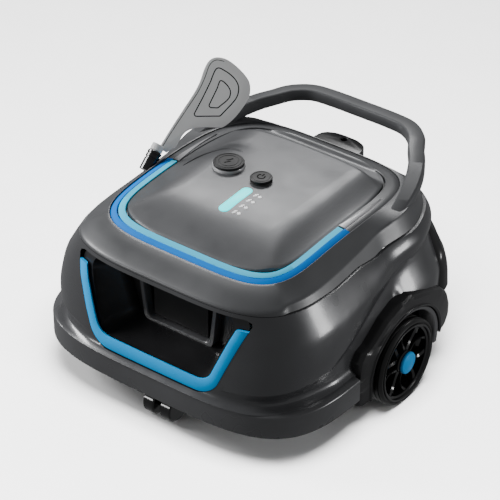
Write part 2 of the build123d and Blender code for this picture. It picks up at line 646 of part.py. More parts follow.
# ---- rear wheels, fenders and axles ----
for name, sign in (("right", 1), ("left", -1)):
    with BuildPart() as fender:
        length = FENDER_X1 - FENDER_X0
        extrude(fender_sketch(sign * FENDER_X0), amount=length * sign, dir=(1, 0, 0))
        extrude(fender_sketch(sign * FENDER_X0, arch=False), amount=WALL * sign, dir=(1, 0, 0))
        # hollow between the arch lip and the outer outline, open to the inside
        with Locations(Plane((sign * 160, WHEEL_Y, WHEEL_R), z_dir=(1, 0, 0))):
            Cylinder(AXLE_R + GAP, 40, mode=Mode.SUBTRACT)
    save(fender, "fender_" + name)

    with BuildPart() as stub_axle:
        with Locations(Plane((sign * (141 + 191) / 2, WHEEL_Y, WHEEL_R), z_dir=(1, 0, 0))):
            Cylinder(AXLE_R - GAP / 10, 50)
        with Locations(Plane((sign * 139.3, WHEEL_Y, WHEEL_R), z_dir=(1, 0, 0))):
            Cylinder(8, 3)
        with Locations(Plane((sign * 192.5, WHEEL_Y, WHEEL_R), z_dir=(1, 0, 0))):
            Cylinder(8, 3)
    save(stub_axle, "stub_axle_" + name)

    middle = sign * (WHEEL_X0 + WHEEL_X1) / 2
    width = WHEEL_X1 - WHEEL_X0
    with BuildPart() as rim:
        with Locations(Plane((middle, WHEEL_Y, WHEEL_R), z_dir=(1, 0, 0))):
            Cylinder(RIM_R, width - 2)
            Cylinder(RIM_INNER_R, width, mode=Mode.SUBTRACT)
        with Locations(Plane((middle, WHEEL_Y, WHEEL_R), z_dir=(1, 0, 0))):
            Cylinder(HUB_R, width - 5)
        with Locations(Plane((sign * (WHEEL_X0 + 16), WHEEL_Y, WHEEL_R), z_dir=(1, 0, 0))):
            with PolarLocations((RIM_INNER_R + HUB_R) / 2, SPOKES):
                Box(33, 5, 10)
        with Locations(Plane((sign * 179, WHEEL_Y, WHEEL_R), z_dir=(1, 0, 0))):
            Cylinder(AXLE_R + 2, 40, mode=Mode.SUBTRACT)
        with Locations(Plane((sign * 196, WHEEL_Y, WHEEL_R), z_dir=(1, 0, 0))):
            Cylinder(9.5, 12.6, mode=Mode.SUBTRACT)
    save(rim, "wheel_rim_" + name)

    with BuildPart() as wheel_bush:
        with Locations(Plane((sign * (170.5 + 189.5) / 2, WHEEL_Y, WHEEL_R), z_dir=(1, 0, 0))):
            Cylinder(AXLE_R + 2, 19)
            Cylinder(AXLE_R + RUN - GAP / 10, 30, mode=Mode.SUBTRACT)
    save(wheel_bush, "wheel_bush_" + name)

    with BuildPart() as tyre:
        with Locations(Plane((middle, WHEEL_Y, WHEEL_R), z_dir=(1, 0, 0))):
            Cylinder(WHEEL_R, width)
            Cylinder(RIM_R, width + 2, mode=Mode.SUBTRACT)
        chamfer(tyre.edges().filter_by(GeomType.CIRCLE).filter_by(lambda e: e.radius > WHEEL_R - 0.1), 2.0)
    save(tyre, "tyre_" + name)

    with BuildPart() as hub_cap:
        with Locations(Plane((sign * 197.0, WHEEL_Y, WHEEL_R), z_dir=(1, 0, 0))):
            Cylinder(12.5, 4)
        chamfer(hub_cap.edges().filter_by(GeomType.CIRCLE).group_by(Axis.X)[-1 if sign > 0 else 0], 1.5)
        with Locations(Plane((sign * 192.6, WHEEL_Y, WHEEL_R), z_dir=(1, 0, 0))):
            Cylinder(9.3, 5)
            Cylinder(8.4, 5, mode=Mode.SUBTRACT)
    save(hub_cap, "hub_cap_" + name)

# ---- swinging steering vane on the left rail ----
lean, turn = math.radians(VANE_LEAN), math.radians(VANE_TURN)
stem_dir = Vector(0, math.cos(lean), math.sin(lean))
flag_dir = Vector(math.sin(turn), math.cos(turn) * math.sin(lean), -math.cos(turn) * math.cos(lean))
vane_plane = Plane(Vector(*VANE_FOOT), x_dir=flag_dir, z_dir=flag_dir.cross(stem_dir))
stem_plane = Plane(Vector(*VANE_FOOT), z_dir=stem_dir)
VANE_T = 4.4

with BuildPart() as vane_socket:
    with Locations(stem_plane):
        Cylinder(8.0, 24)
        Cylinder(4.0 + RUN, 30, mode=Mode.SUBTRACT)
save(vane_socket, "vane_socket")

with BuildPart() as vane:
    with BuildSketch(vane_plane):
        with BuildLine():
            Polyline((1.5, 22), (11.5, 22), (18.5, 29))
            Spline((18.5, 29), (18.4, 38), (24.5, 53.6), (44.4, 66), (58, 78))
            Spline((58, 78), (65.2, 96), (65, 119), (50, 136), (30, 141.6), (12, 138.4), (6.4, 126))
            Spline((6.4, 126), (8.4, 98), (5.5, 62), (1.5, 22))
        make_face()
    extrude(amount=VANE_T / 2, both=True)
    with Locations(stem_plane):
        with Locations((0, 0, 5)):
            Cylinder(4.0, 36)
    with Locations(stem_plane):
        with Locations((0, 0, 17)):
            Cylinder(7.0, 8)
save(vane, "vane")

# ---- rear latch tab with a rope eye ----
with BuildPart() as rear_tab:
    with BuildSketch(Plane.XY.offset(177.5)):
        with BuildLine():
            Polyline((-44, 140), (-36, 168), (36, 168), (44, 140), close=True)
        make_face()
        with Locations((0, 158)):
            Circle(4.0, mode=Mode.SUBTRACT)
    extrude(amount=12.5)
    fillet(rear_tab.edges().filter_by(Axis.Z).group_by(Axis.Y)[-1], 8)
    add(plan_loft(RAIL, -GAP), mode=Mode.SUBTRACT)
save(rear_tab, "rear_tab")

# ---- trim weights and screws ----
with BuildPart() as trim_weights:
    with Locations((-84, -130, 44.3), (84, -130, 44.3), (-84, -108, 44.3), (84, -108, 44.3)):
        Box(34, 16, 8)
save(trim_weights, "trim_weights")

with BuildPart() as shell_screws:
    with Locations(*[(x, y, BASE_Z + 26) for x, y in POSTS]):
        Cylinder(1.45, 44)
    with Locations(*[(x, y, BASE_Z + 2.2) for x, y in POSTS]):
        Cylinder(4.0, 2.4)
save(shell_screws, "shell_screws")
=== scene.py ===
import json
import math

import bpy
import bmesh
import numpy as np
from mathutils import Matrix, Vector


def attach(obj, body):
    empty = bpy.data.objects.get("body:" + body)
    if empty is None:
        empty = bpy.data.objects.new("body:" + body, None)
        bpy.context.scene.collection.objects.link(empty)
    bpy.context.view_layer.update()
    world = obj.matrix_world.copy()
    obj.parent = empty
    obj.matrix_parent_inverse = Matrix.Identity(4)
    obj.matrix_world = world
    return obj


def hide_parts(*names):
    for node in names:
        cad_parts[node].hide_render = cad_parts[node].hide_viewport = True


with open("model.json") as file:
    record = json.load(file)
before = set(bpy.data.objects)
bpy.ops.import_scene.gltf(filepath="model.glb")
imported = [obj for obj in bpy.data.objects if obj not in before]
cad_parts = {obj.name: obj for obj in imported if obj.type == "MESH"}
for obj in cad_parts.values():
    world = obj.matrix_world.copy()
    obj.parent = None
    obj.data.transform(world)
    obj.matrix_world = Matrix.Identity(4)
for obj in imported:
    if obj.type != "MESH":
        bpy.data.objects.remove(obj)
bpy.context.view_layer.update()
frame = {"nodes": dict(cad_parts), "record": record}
nodes = frame["nodes"]
MM = 0.001

# ---------------------------------------------------------------- materials


def plastic(name, color, rough=0.35, metallic=0.0, coat=0.0, coat_rough=0.1, grain=900.0, bump=0.04,
            tone=0.12, flake=0.0, specular=0.5, wear=0.12, rough_var=0.08):
    """Moulded or painted plastic: tone drift, fine grain bump, uneven gloss and lighter worn edges."""
    material = bpy.data.materials.new(name)
    material.use_nodes = True
    tree = material.node_tree
    shader = tree.nodes["Principled BSDF"]
    link = tree.links.new
    place = tree.nodes.new("ShaderNodeTexCoord").outputs["Object"]

    def noise(scale, detail):
        node = tree.nodes.new("ShaderNodeTexNoise")
        node.inputs["Scale"].default_value = scale
        node.inputs["Detail"].default_value = detail
        link(place, node.inputs["Vector"])
        return node.outputs["Fac"]

    def remap(value, from_low, from_high, to_low, to_high):
        node = tree.nodes.new("ShaderNodeMapRange")
        node.inputs["From Min"].default_value = from_low
        node.inputs["From Max"].default_value = from_high
        node.inputs["To Min"].default_value = to_low
        node.inputs["To Max"].default_value = to_high
        link(value, node.inputs["Value"])
        return node.outputs["Result"]

    def blend(kind, factor, under, over):
        node = tree.nodes.new("ShaderNodeMix")
        node.data_type = "RGBA"
        node.blend_type = kind
        node.inputs["B"].default_value = (*over, 1)
        link(factor, node.inputs["Factor"])
        link(under, node.inputs["A"])
        return node.outputs["Result"]

    shader.inputs["Metallic"].default_value = metallic
    shader.inputs["Coat Weight"].default_value = coat
    shader.inputs["Coat Roughness"].default_value = coat_rough
    shader.inputs["Specular IOR Level"].default_value = specular
    ramp = tree.nodes.new("ShaderNodeValToRGB")
    for element, position, share in zip(ramp.color_ramp.elements, (0.3, 0.7), (1 - tone, 1 + tone)):
        element.position = position
        element.color = (*[min(1.0, c * share) for c in color], 1)
    link(noise(18.0, 4.0), ramp.inputs["Fac"])
    out = ramp.outputs["Color"]
    if flake > 0:
        specks = tree.nodes.new("ShaderNodeTexVoronoi")
        specks.inputs["Scale"].default_value = 2600.0
        link(place, specks.inputs["Vector"])
        out = blend("ADD", remap(specks.outputs["Distance"], 0.0, 0.35, flake, 0.0), out, (0.5, 0.52, 0.55))
    if wear > 0:
        edges = tree.nodes.new("ShaderNodeNewGeometry").outputs["Pointiness"]
        worn = [min(1.0, c * 2.2 + 0.04) for c in color]
        out = blend("MIX", remap(edges, 0.56, 0.72, 0.0, wear), out, worn)
    link(out, shader.inputs["Base Color"])
    low, high = max(0.02, rough - rough_var), min(1.0, rough + rough_var)
    link(remap(noise(30.0, 2.0), 0.2, 0.8, low, high), shader.inputs["Roughness"])
    relief = tree.nodes.new("ShaderNodeBump")
    relief.inputs["Strength"].default_value = bump
    relief.inputs["Distance"].default_value = 0.0004
    link(noise(grain, 3.0), relief.inputs["Height"])
    link(relief.outputs["Normal"], shader.inputs["Normal"])
    return material


BODY = plastic("body_paint", (0.060, 0.061, 0.065), rough=0.30, metallic=0.25, coat=0.6, coat_rough=0.14,
               flake=0.04, tone=0.08, wear=0.03)
RAIL = plastic("rail_paint", (0.076, 0.078, 0.082), rough=0.44, metallic=0.2, coat=0.2, coat_rough=0.2,
               flake=0.04, tone=0.08, wear=0.03)
HOOD = plastic("hood_paint", (0.096, 0.098, 0.103), rough=0.42, metallic=0.3, coat=0.2, coat_rough=0.18,
               flake=0.06, tone=0.06, wear=0)
SKIRT = plastic("skirt_plastic", (0.078, 0.079, 0.083), rough=0.30, metallic=0.2, coat=0.4, coat_rough=0.18)
TRIM_GREY = plastic("trim_grey_plastic", (0.36, 0.36, 0.37), rough=0.35, metallic=0.2, coat=0.2)
BLUE_DARK = plastic("blue_dark_plastic", (0.0, 0.22, 0.78), rough=0.5, specular=0.08, tone=0.04, wear=0)
BLUE_LIGHT = plastic("blue_light_plastic", (0.06, 0.66, 1.0), rough=0.5, specular=0.08, tone=0.04, wear=0)
BLUE_TRIM = plastic("blue_trim_plastic", (0.0, 0.44, 1.0), rough=0.5, specular=0.08, tone=0.04, wear=0)
HUB_BLUE = plastic("hub_blue_plastic", (0.01, 0.33, 0.78), rough=0.35, specular=0.3, tone=0.05, wear=0)
BLACK = plastic("black_plastic_mat", (0.0045, 0.0045, 0.005), rough=0.5, bump=0.1, grain=600, specular=0.2)
BLACK_GLOSS = plastic("black_gloss_mat", (0.005, 0.005, 0.0055), rough=0.18, coat=0.5, coat_rough=0.08)
FENDER = plastic("fender_mat", (0.011, 0.011, 0.012), rough=0.32, coat=0.35, coat_rough=0.16)
BUTTON = plastic("button_mat", (0.014, 0.014, 0.015), rough=0.5, bump=0.08, specular=0.3)
VANE = plastic("vane_mat", (0.66, 0.66, 0.66), rough=0.55, bump=0.08, tone=0.05)
# near-black: painted shade inside the vane's grooves, and the print of the button and cap symbols
GROOVE_SHADE_AND_PRINT = plastic("groove_shade_and_print_mat", (0.002, 0.002, 0.002), rough=0.7, wear=0, specular=0.03)
RUBBER = plastic("rubber_mat", (0.010, 0.010, 0.010), rough=0.6, bump=0.25, grain=500)
TYRE = plastic("tyre_mat", (0.006, 0.006, 0.006), rough=0.36, bump=0.15, grain=500, coat=0.1)
STEEL = plastic("steel_mat", (0.55, 0.55, 0.56), rough=0.3, metallic=1.0, wear=0)
IRON = plastic("iron_mat", (0.12, 0.12, 0.12), rough=0.5, metallic=0.8)
MESH = plastic("screen_mat", (0.28, 0.28, 0.28), rough=0.5)
BOARD = plastic("board_mat", (0.02, 0.14, 0.06), rough=0.4)
WRAP = plastic("wrap_mat", (0.05, 0.09, 0.28), rough=0.35)
LED = plastic("led_lens_mat", (0.02, 0.60, 0.62), rough=0.3, tone=0.05, wear=0, specular=0.2)
MARK_PAINTED_GLOW = plastic("mark_painted_glow_mat", (0.80, 0.80, 0.80), rough=0.5, wear=0, tone=0.03)


def glow(material, color, strength):
    """Lights a material from within."""
    shader = material.node_tree.nodes["Principled BSDF"]
    shader.inputs["Emission Color"].default_value = (*color, 1)
    shader.inputs["Emission Strength"].default_value = strength


# the level marks are printed, not lit: their emission is a painted glow that brightens them
glow(MARK_PAINTED_GLOW, (1.0, 1.0, 1.0), 0.9)
glow(LED, (0.0, 0.95, 1.0), 1.7)

NODE_MATERIAL = {
    "body_grey": BODY, "rail_grey": RAIL, "hood_grey": HOOD, "skirt_grey": SKIRT, "trim_grey": TRIM_GREY,
    "blue_dark": BLUE_DARK, "blue_light": BLUE_LIGHT, "blue_trim": BLUE_TRIM, "hub_blue": HUB_BLUE,
    "black_plastic": BLACK, "black_gloss": BLACK_GLOSS, "fender_black": FENDER, "button_grey": BUTTON,
    "vane_grey": VANE, "led_cyan": LED, "seal_rubber": RUBBER, "tyre_rubber": TYRE, "steel": STEEL,
    "weight_iron": IRON, "mesh_grey": MESH, "board_green": BOARD, "cell_wrap": WRAP}
for row in frame["record"]["subparts"]:
    target = nodes.get(row["node"])
    if target is not None:
        target.data.materials.clear()
        target.data.materials.append(NODE_MATERIAL[row["material_slot"]])

# ---------------------------------------------------------------- mesh helpers


def new_object(name, points, faces, weld=False):
    """A mesh object from points in millimetres, with its faces turned outwards."""
    mesh = bpy.data.meshes.new(name)
    mesh.from_pydata([(p[0] * MM, p[1] * MM, p[2] * MM) for p in points], [], faces)
    if weld:
        mesh.validate()
    obj = bpy.data.objects.new(name, mesh)
    bpy.context.scene.collection.objects.link(obj)
    bm = bmesh.new()
    bm.from_mesh(mesh)
    if weld:
        bmesh.ops.remove_doubles(bm, verts=bm.verts, dist=1e-6)
    bmesh.ops.recalc_face_normals(bm, faces=bm.faces)
    bm.to_mesh(mesh)
    bm.free()
    return obj


def piece(name, shape, material, body="hull", replaces=(), slot=None, angle=32.0):
    """A piece of the visual model that rides on a body, smooth except at edges sharper than angle."""
    obj = new_object(name, *shape, weld=True)
    obj.data.materials.append(material)
    shade(obj, angle)
    if replaces:
        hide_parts(*replaces)
    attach(obj, body)
    return obj


def shade(obj, angle):
    """Smooth shading, except at edges sharper than angle."""
    mesh = obj.data
    mesh.polygons.foreach_set("use_smooth", [True] * len(mesh.polygons))
    mesh.set_sharp_from_angle(angle=math.radians(angle))


def apply_modifiers(obj):
    """Turns the shape that obj's modifiers make into its mesh."""
    graph = bpy.context.evaluated_depsgraph_get()
    graph.update()
    new = bpy.data.meshes.new_from_object(obj.evaluated_get(graph))
    obj.modifiers.clear()
    old = obj.data
    obj.data = new
    bpy.data.meshes.remove(old)


def bevel(obj, width, segments=3, limit=50.0, angle=32.0):
    """Rounds the edges sharper than limit."""
    modifier = obj.modifiers.new("bevel", "BEVEL")
    modifier.width = width * MM
    modifier.segments = segments
    modifier.limit_method = "ANGLE"
    modifier.angle_limit = math.radians(limit)
    apply_modifiers(obj)
    shade(obj, angle)


def cut(obj, shape, material=None, angle=32.0):
    """Cuts a closed mesh out of obj."""
    tool = new_object("cutter", *shape)
    if material is not None:
        tool.data.materials.append(material)
        if material.name not in [m.name for m in obj.data.materials]:
            obj.data.materials.append(material)
    modifier = obj.modifiers.new("cut", "BOOLEAN")
    modifier.operation = "DIFFERENCE"
    modifier.solver = "EXACT"
    modifier.object = tool
    if material is not None:
        modifier.material_mode = "TRANSFER"
    apply_modifiers(obj)
    bpy.data.objects.remove(tool)
    shade(obj, angle)


def stack(rings, close_ring=True, caps=(False, False), loop=False):
    """Quads between successive rings of equal length; in a loop also from the last ring to the first."""
    count = len(rings[0])
    points = [p for ring in rings for p in ring]
    faces = []
    for k in range(len(rings) if loop else len(rings) - 1):
        a, b = k * count, (k + 1) * count % len(points)
        for i in range(count if close_ring else count - 1):
            j = (i + 1) % count
            faces.append((a + i, a + j, b + j, b + i))
    if caps[0]:
        faces.append(tuple(range(count))[::-1])
    if caps[1]:
        start = (len(rings) - 1) * count
        faces.append(tuple(range(start, start + count)))
    return points, faces


def solid(rings):
    """A closed shape from rings, with both ends capped."""
    return stack(rings, caps=(True, True))


def extend(points, faces, more_points, more_faces):
    """Adds a second mesh's points and faces to the first's."""
    base = len(points)
    points += more_points
    faces += [tuple(i + base for i in face) for face in more_faces]


def prism(outline, low, high, upright=False):
    """Closed prism of an outline of pairs, along y or, when upright, along z."""
    def place(pair, level):
        return (pair[0], pair[1], level) if upright else (pair[0], level, pair[1])
    return solid([[place(p, level) for p in outline] for level in (low, high)])


def closed_band(name, rings, material, **extra):
    """A strip with closed ends from rings that run along it, the last joined to the first."""
    points, faces = stack(rings, close_ring=False, loop=True)
    count = len(rings[0])
    faces += [tuple(k * count + end for k in range(len(rings))) for end in (0, count - 1)]
    return piece(name, (points, faces), material, **extra)


def circle_angles(count):
    return np.arange(count) * 2 * math.pi / count


def smooth(t):
    """0 to 1 with a level start and end."""
    t = min(1.0, max(0.0, t))
    return t * t * (3 - 2 * t)


def table(x, pairs):
    """Value at x on the straight lines between pairs."""
    return float(np.interp(x, [p[0] for p in pairs], [p[1] for p in pairs]))


def between(a, b, share):
    """Points part of the way from one path to another."""
    return [p + (q - p) * share for p, q in zip(a, b)]


def sides_of(path, width, closed=False):
    """Points half a width to the left and to the right of each point of a flat path."""
    n = len(path)
    left, right = [], []
    for k, p in enumerate(path):
        after = path[(k + 1) % n if closed else min(k + 1, n - 1)]
        before = path[k - 1 if closed else max(k - 1, 0)]
        t = (after - before) / np.linalg.norm(after - before)
        m = np.array([-t[1], t[0]]) * width / 2
        left.append(p + m)
        right.append(p - m)
    return left, right


def spline(points, count):
    """Catmull-Rom points through a list of points of any dimension."""
    points = [np.array(p, float) for p in points]
    spans = len(points) - 1
    out = []
    for k in range(count + 1):
        s = k * spans / count
        i = min(int(s), spans - 1)
        t = s - i

        def at(j):
            return points[min(max(j, 0), spans)]

        a, b, c, d = at(i - 1), at(i), at(i + 1), at(i + 2)
        square = (2 * a - 5 * b + 4 * c - d) * t ** 2
        cube = (3 * b - a - 3 * c + d) * t ** 3
        out.append(0.5 * ((2 * b) + (c - a) * t + square + cube))
    return out


# ---------------------------------------------------------------- the body's shared shape

CENTRE = -40.0              # the plan outlines' common centre line
PLAN_POWER = 4.0
BEZEL_POWER = 4.5
SKIRT_TOP = 69.3            # where the body starts above the skirt
FLARE_HIGH = 9.5            # height of the flare at the body's foot
# rows of height, half width, front y and rear y
PROFILE = [(40.0, 186.0, -201.5, 150.0), (SKIRT_TOP, 178.5, -196.5, 147.0),
           (110.0, 175.0, -192.5, 148.0), (145.0, 166.5, -187.5, 147.5), (176.0, 151.5, -180.0, 145.0),
           (182.0, 148.5, -176.0, 143.5), (195.0, 126.0, -146.0, 138.5)]


def plan_radius(angle, half_width, front, rear, power):
    """Distance from the centre to the rounded plan outline."""
    along, across = math.sin(angle), math.cos(angle)
    length = (rear - CENTRE) if along > 0 else (CENTRE - front)
    return (abs(across / half_width) ** power + abs(along / length) ** power) ** (-1 / power)


def plan_point(angle, size, inset=0.0, power=PLAN_POWER):
    """A point of the rounded plan outline, moved inwards square to it, and the outward direction there."""
    def raw(a):
        r = plan_radius(a, *size, power)
        return np.array([r * math.cos(a), CENTRE + r * math.sin(a)])

    p = raw(angle)
    t = raw(angle + 1e-3) - raw(angle - 1e-3)
    t /= np.linalg.norm(t)
    normal = np.array([t[1], -t[0]])
    return p - normal * inset, normal


def profile_size(z):
    """Half width, front y and rear y of the body at a height."""
    levels = [row[0] for row in PROFILE]
    return [float(np.interp(z, levels, [row[i] for row in PROFILE])) for i in (1, 2, 3)]


CROWN_TOP = 202.0
CROWN_R = 1050.0


def crown_z(y):
    """Height of the crowned top, which falls away to the front and rear."""
    return CROWN_TOP - CROWN_R + math.sqrt(CROWN_R ** 2 - y * y)


def front_y(x, z):
    """y of the body's front face at x and z."""
    half_width, front, _ = profile_size(z)
    t = min(0.9999, abs(x) / half_width)
    return CENTRE - (CENTRE - front) * (1 - t ** PLAN_POWER) ** (1 / PLAN_POWER)


def even_angles(size, power, count=300):
    """Angles that space the outline's points evenly."""
    dense = np.linspace(0, 2 * math.pi, 4001)
    reach = [plan_radius(a, *size, power) for a in dense]
    pts = np.array([[r * math.cos(a), r * math.sin(a)] for r, a in zip(reach, dense)])
    length = np.concatenate([[0], np.cumsum(np.linalg.norm(np.diff(pts, axis=0), axis=1))])
    return list(np.interp(np.arange(count) * length[-1] / count, length, dense))


ANGLES = even_angles(PROFILE[1][1:], PLAN_POWER)

# side lines of the body: pairs of plan angle in degrees and height or inset in millimetres
LOWER_CREASE = [(-60, 84), (-34, 94), (-26, 100), (-19, 105), (-10, 117), (-1, 129), (7, 140), (13, 147),
                (20, 153), (28, 156), (42, 159), (60, 160), (90, 160)]
UPPER_CREASE = [(-50, 176), (-38, 175), (-29, 174), (-12, 173), (5, 175.5), (15, 173), (31, 177), (44, 178),
                (60, 177), (90, 176)]
SHOULDER_Z = [(-60, 182.4), (-20, 182.8), (-3, 185), (10, 188), (20, 191.5), (30, 195.5), (42, 198),
              (56, 193), (72, 186), (90, 184)]
SHOULDER_IN = [(-60, 4.2), (-20, 5), (-3, 6), (16, 8), (30, 8.5), (45, 8.5), (90, 6)]
FOOT_SIZE = (151.0, -179.6, 144.8)


def side_angle(angle):
    """Plan angle mirrored to the right side, in degrees."""
    return math.degrees(math.atan2(math.sin(angle), abs(math.cos(angle))))


# height and how far the rear corners stand out
BULGE = [(72, 5.0), (100, 8.0), (146, 9.0), (176, 11.5), (200, 8.0)]
# plan angle and, behind the wheel, how far below the crease its facet ends and how far it stands out
BACK_REACH = [(18, 15), (22, 15), (27, 11), (33, 9), (39, 8.5), (50, 9)]
BACK_OUT = [(18, 8), (36, 9), (46, 9), (60, 8)]


def rear_bulge(side, z):
    """The rear corners stand out from the plain plan."""
    return table(z, BULGE) * smooth((side - 20) / 18) * (1 - smooth((side - 56) / 16))


def side_relief(side, z, low, high):
    """How far the side stands out from the plain body, in millimetres."""
    fade = smooth((side + 52) / 18) * (1 - smooth((side - 50) / 14))
    flare = 6.6 * max(0.0, 1 - (z - SKIRT_TOP) / FLARE_HIGH) ** 2.2
    bulge = rear_bulge(side, z)
    if z >= low:
        t = (z - low) / max(1.0, high - low)
        return 3.0 * fade * math.sin(math.pi * min(1.0, t)) ** 0.9 + flare + bulge
    tuck = smooth((side + 62) / 14) * (1 - smooth((side + 30) / 14))
    corner = -4.5 * tuck * (1 - smooth((z - 74) / 26)) * smooth((z - SKIRT_TOP) / 4)
    under = low - z
    facet = smooth((side - 18.5) / 3) * (1 - smooth((side - 62) / 16))
    reach = table(side, BACK_REACH)
    dip = -6.5 * fade * smooth(under / (15 - facet * (15 - reach)))
    back_out = facet * table(side, BACK_OUT) * smooth(min(1.0, max(0.0, (under - reach) / 40)))
    return dip + back_out + flare + corner + bulge


def body_rings(inset):
    """Rings of the body from skirt to the upper crease, whose rows follow the side's crease lines."""
    columns = []
    for angle in ANGLES:
        side = side_angle(angle)
        low = table(side, LOWER_CREASE)
        high = table(side, UPPER_CREASE)
        rows = [SKIRT_TOP + d for d in (0.0, 0.7, 1.6, 2.8, 4.4, 6.6, FLARE_HIGH)]
        flare_top = rows[-1]
        if low > 96:
            rows += [flare_top + (low - 16 - flare_top) * (k / 9) ** 0.9 for k in range(1, 10)]
        else:
            rows += [flare_top + (low - 1 - flare_top) * k / 18 for k in range(1, 10)]
        start = rows[-1]
        rows += [start + (low - 0.4 - start) * k / 9 for k in range(1, 10)]
        rows += [low + 0.5 + (high - 0.3 - low - 0.5) * k / 12 for k in range(13)]
        columns.append([(z, side_relief(side, z, low, high)) for z in rows])
    rings = []
    for r in range(len(columns[0])):
        ring = []
        for angle, column in zip(ANGLES, columns):
            z, offset = column[r]
            p, _ = plan_point(angle, profile_size(z), inset - offset)
            ring.append((p[0], p[1], z))
        rings.append(ring)
    return rings


# ---------------------------------------------------------------- upper body and its front opening


def rounded_path(corners, radius, steps=10):
    """An open path in two dimensions with rounded inner corners."""
    out = [np.array(corners[0], float)]
    for k in range(1, len(corners) - 1):
        a, b, c = (np.array(corners[j], float) for j in (k - 1, k, k + 1))
        u, v = (a - b) / np.linalg.norm(a - b), (c - b) / np.linalg.norm(c - b)
        half = math.acos(max(-1, min(1, float(u @ v)))) / 2
        reach = radius / math.tan(half)
        centre = b + (u + v) / np.linalg.norm(u + v) * radius / math.sin(half)
        p, q = b + u * reach, b + v * reach
        a0, a1 = (math.atan2(*(e - centre)[::-1]) for e in (p, q))
        turn = (a1 - a0 + math.pi) % (2 * math.pi) - math.pi
        for s in range(steps + 1):
            a2 = a0 + turn * s / steps
            out.append(centre + radius * np.array([math.cos(a2), math.sin(a2)]))
    out.append(np.array(corners[-1], float))
    return out


def densify(path, step):
    """A path with its long sides split into steps of about the given length."""
    out = [path[0]]
    for a, b in zip(path, path[1:]):
        n = max(1, int(np.linalg.norm(b - a) / step))
        out += [a + (b - a) * (k + 1) / n for k in range(n)]
    return out


def even_path(path, count):
    """A path in count equal steps."""
    pts = np.array(path, float)
    length = np.concatenate([[0], np.cumsum(np.linalg.norm(np.diff(pts, axis=0), axis=1))])
    s = np.linspace(0, length[-1], count + 1)
    return [np.array([np.interp(v, length, pts[:, 0]), np.interp(v, length, pts[:, 1])]) for v in s]


TRIM_OUT = even_path(rounded_path([(-114.5, 159), (-80.5, 73.5), (80.5, 73.5), (114.5, 159)], 30), 120)
TRIM_IN = even_path(rounded_path([(-101, 159), (-73.4, 89), (73.4, 89), (101, 159)], 20), 120)
MOUTH_TOP = 171.6
WALL = 3.4
BODY_ANGLE = 24.0           # edges of the painted body sharper than this stay crisp

outer = body_rings(0.0)
inner = body_rings(WALL)
shell = piece("body_shell", stack(outer + inner[::-1], loop=True), BODY, replaces=("upper_shell",),
              slot="body_grey", angle=BODY_ANGLE)
mouth_corner = [(116.5, 165), (115.5, 168.5), (110, MOUTH_TOP - 0.6)]
hole = TRIM_OUT + mouth_corner
hole += [(106 - 212 * k / 24, MOUTH_TOP) for k in range(25)]
hole += [(-x, z) for x, z in mouth_corner[::-1]]
cut(shell, prism(hole, -230, -130), material=BLACK, angle=BODY_ANGLE)
rear_hole = rounded_path([(-69.5, 100), (-69.5, 88.5), (69.5, 88.5), (69.5, 157.5), (-69.5, 157.5),
                          (-69.5, 100)], 8)
cut(shell, prism(rear_hole[:-1], 120, 190), material=BLACK, angle=BODY_ANGLE)


def band_on_front(name, outside, inside, section, material, **extra):
    """A strip between two paths on the front face: section holds pairs of (share of the way in, height)."""
    rings = [[(x, front_y(x, z) - proud, z) for x, z in between(outside, inside, share)]
             for share, proud in section]
    return closed_band(name, rings, material, **extra)


band_on_front("front_trim_band", TRIM_OUT, TRIM_IN,
              [(0.03, -3.0), (0.03, 0.1), (0.08, 0.6), (0.95, 0.5), (1.0, 0.1), (1.0, -1.6), (0.86, -3.0)],
              BLUE_TRIM, replaces=("front_opening_trim",), slot="blue_trim", angle=50)


def mouth_outline(half_top, half_low, top, low, radius, count=96):
    """A rounded outline, wide at the top and narrow below."""
    corners = [(0, top), (half_top, top), (half_low, low), (-half_low, low), (-half_top, top), (0, top)]
    return even_path(rounded_path(corners, radius), count)[:-1]


# funnel behind the trim, down to the nozzle frame: rows of half widths, top, bottom, y and corner radius
rings = []
for half_top, half_low, top, low, y, radius in (
        (120, 80, 174, 84, None, 14), (100, 72, 171, 87.6, None, 12), (97, 70, 169, 90.5, -168, 12),
        (86, 62, 164, 94, -152, 10), (79, 58, 160, 96, -141.5, 8), (79, 58, 160, 96, -139, 8),
        (53.5, 45.5, 159.5, 94.5, -138.9, 8)):
    ring = []
    for p in mouth_outline(half_top, half_low, top, low, radius):
        ring.append((p[0], (front_y(p[0], p[1]) + 4.5) if y is None else y, p[1]))
    rings.append(ring)
piece("mouth_liner", stack(rings), FENDER, replaces=("front_outlet_duct",), slot="black_plastic", angle=40)

# raised frame round the nozzle
frame_out = mouth_outline(55, 47, 161, 93, 9)
frame_in = mouth_outline(48, 41, 154.5, 99, 6)
rings = []
for share, y in ((0.0, -139.0), (0.0, -147.0), (0.12, -148.6), (0.75, -148.6), (0.9, -147.6), (1.0, -139.0)):
    rings.append([(x, y, z) for x, z in between(frame_out, frame_in, share)])
piece("nozzle_frame", stack(rings, loop=True), SKIRT, slot="black_plastic", angle=40)

# ---------------------------------------------------------------- skirt


def sweep_plan(name, size, section, start, end, count, material, power=PLAN_POWER, crowned=False, **extra):
    """A closed section of (inset, z) pairs swept along the plan outline between two angles.

    The heights of a crowned sweep are measured from the crowned top."""
    rings = []
    for k in range(count + 1):
        angle = start + (end - start) * k / count
        ring = []
        for inset, z in section:
            p, _ = plan_point(angle, size, inset, power)
            ring.append((p[0], p[1], z + (crown_z(p[1]) if crowned else 0.0)))
        rings.append(ring)
    return piece(name, solid(rings), material, **extra)


SKIRT_SIZE = (186.0, -201.5, 150.0)
SKIRT_SECTION = [(14.0, 41.0), (1.2, 40.0), (0.2, 41.0), (0.0, 42.5), (0.0, 66.2), (0.3, 67.6), (1.3, 68.5),
                 (8.6, 70.2), (14.0, 70.2), (14.0, 66.0), (4.0, 64.5), (4.0, 45.0), (14.0, 45.0)]


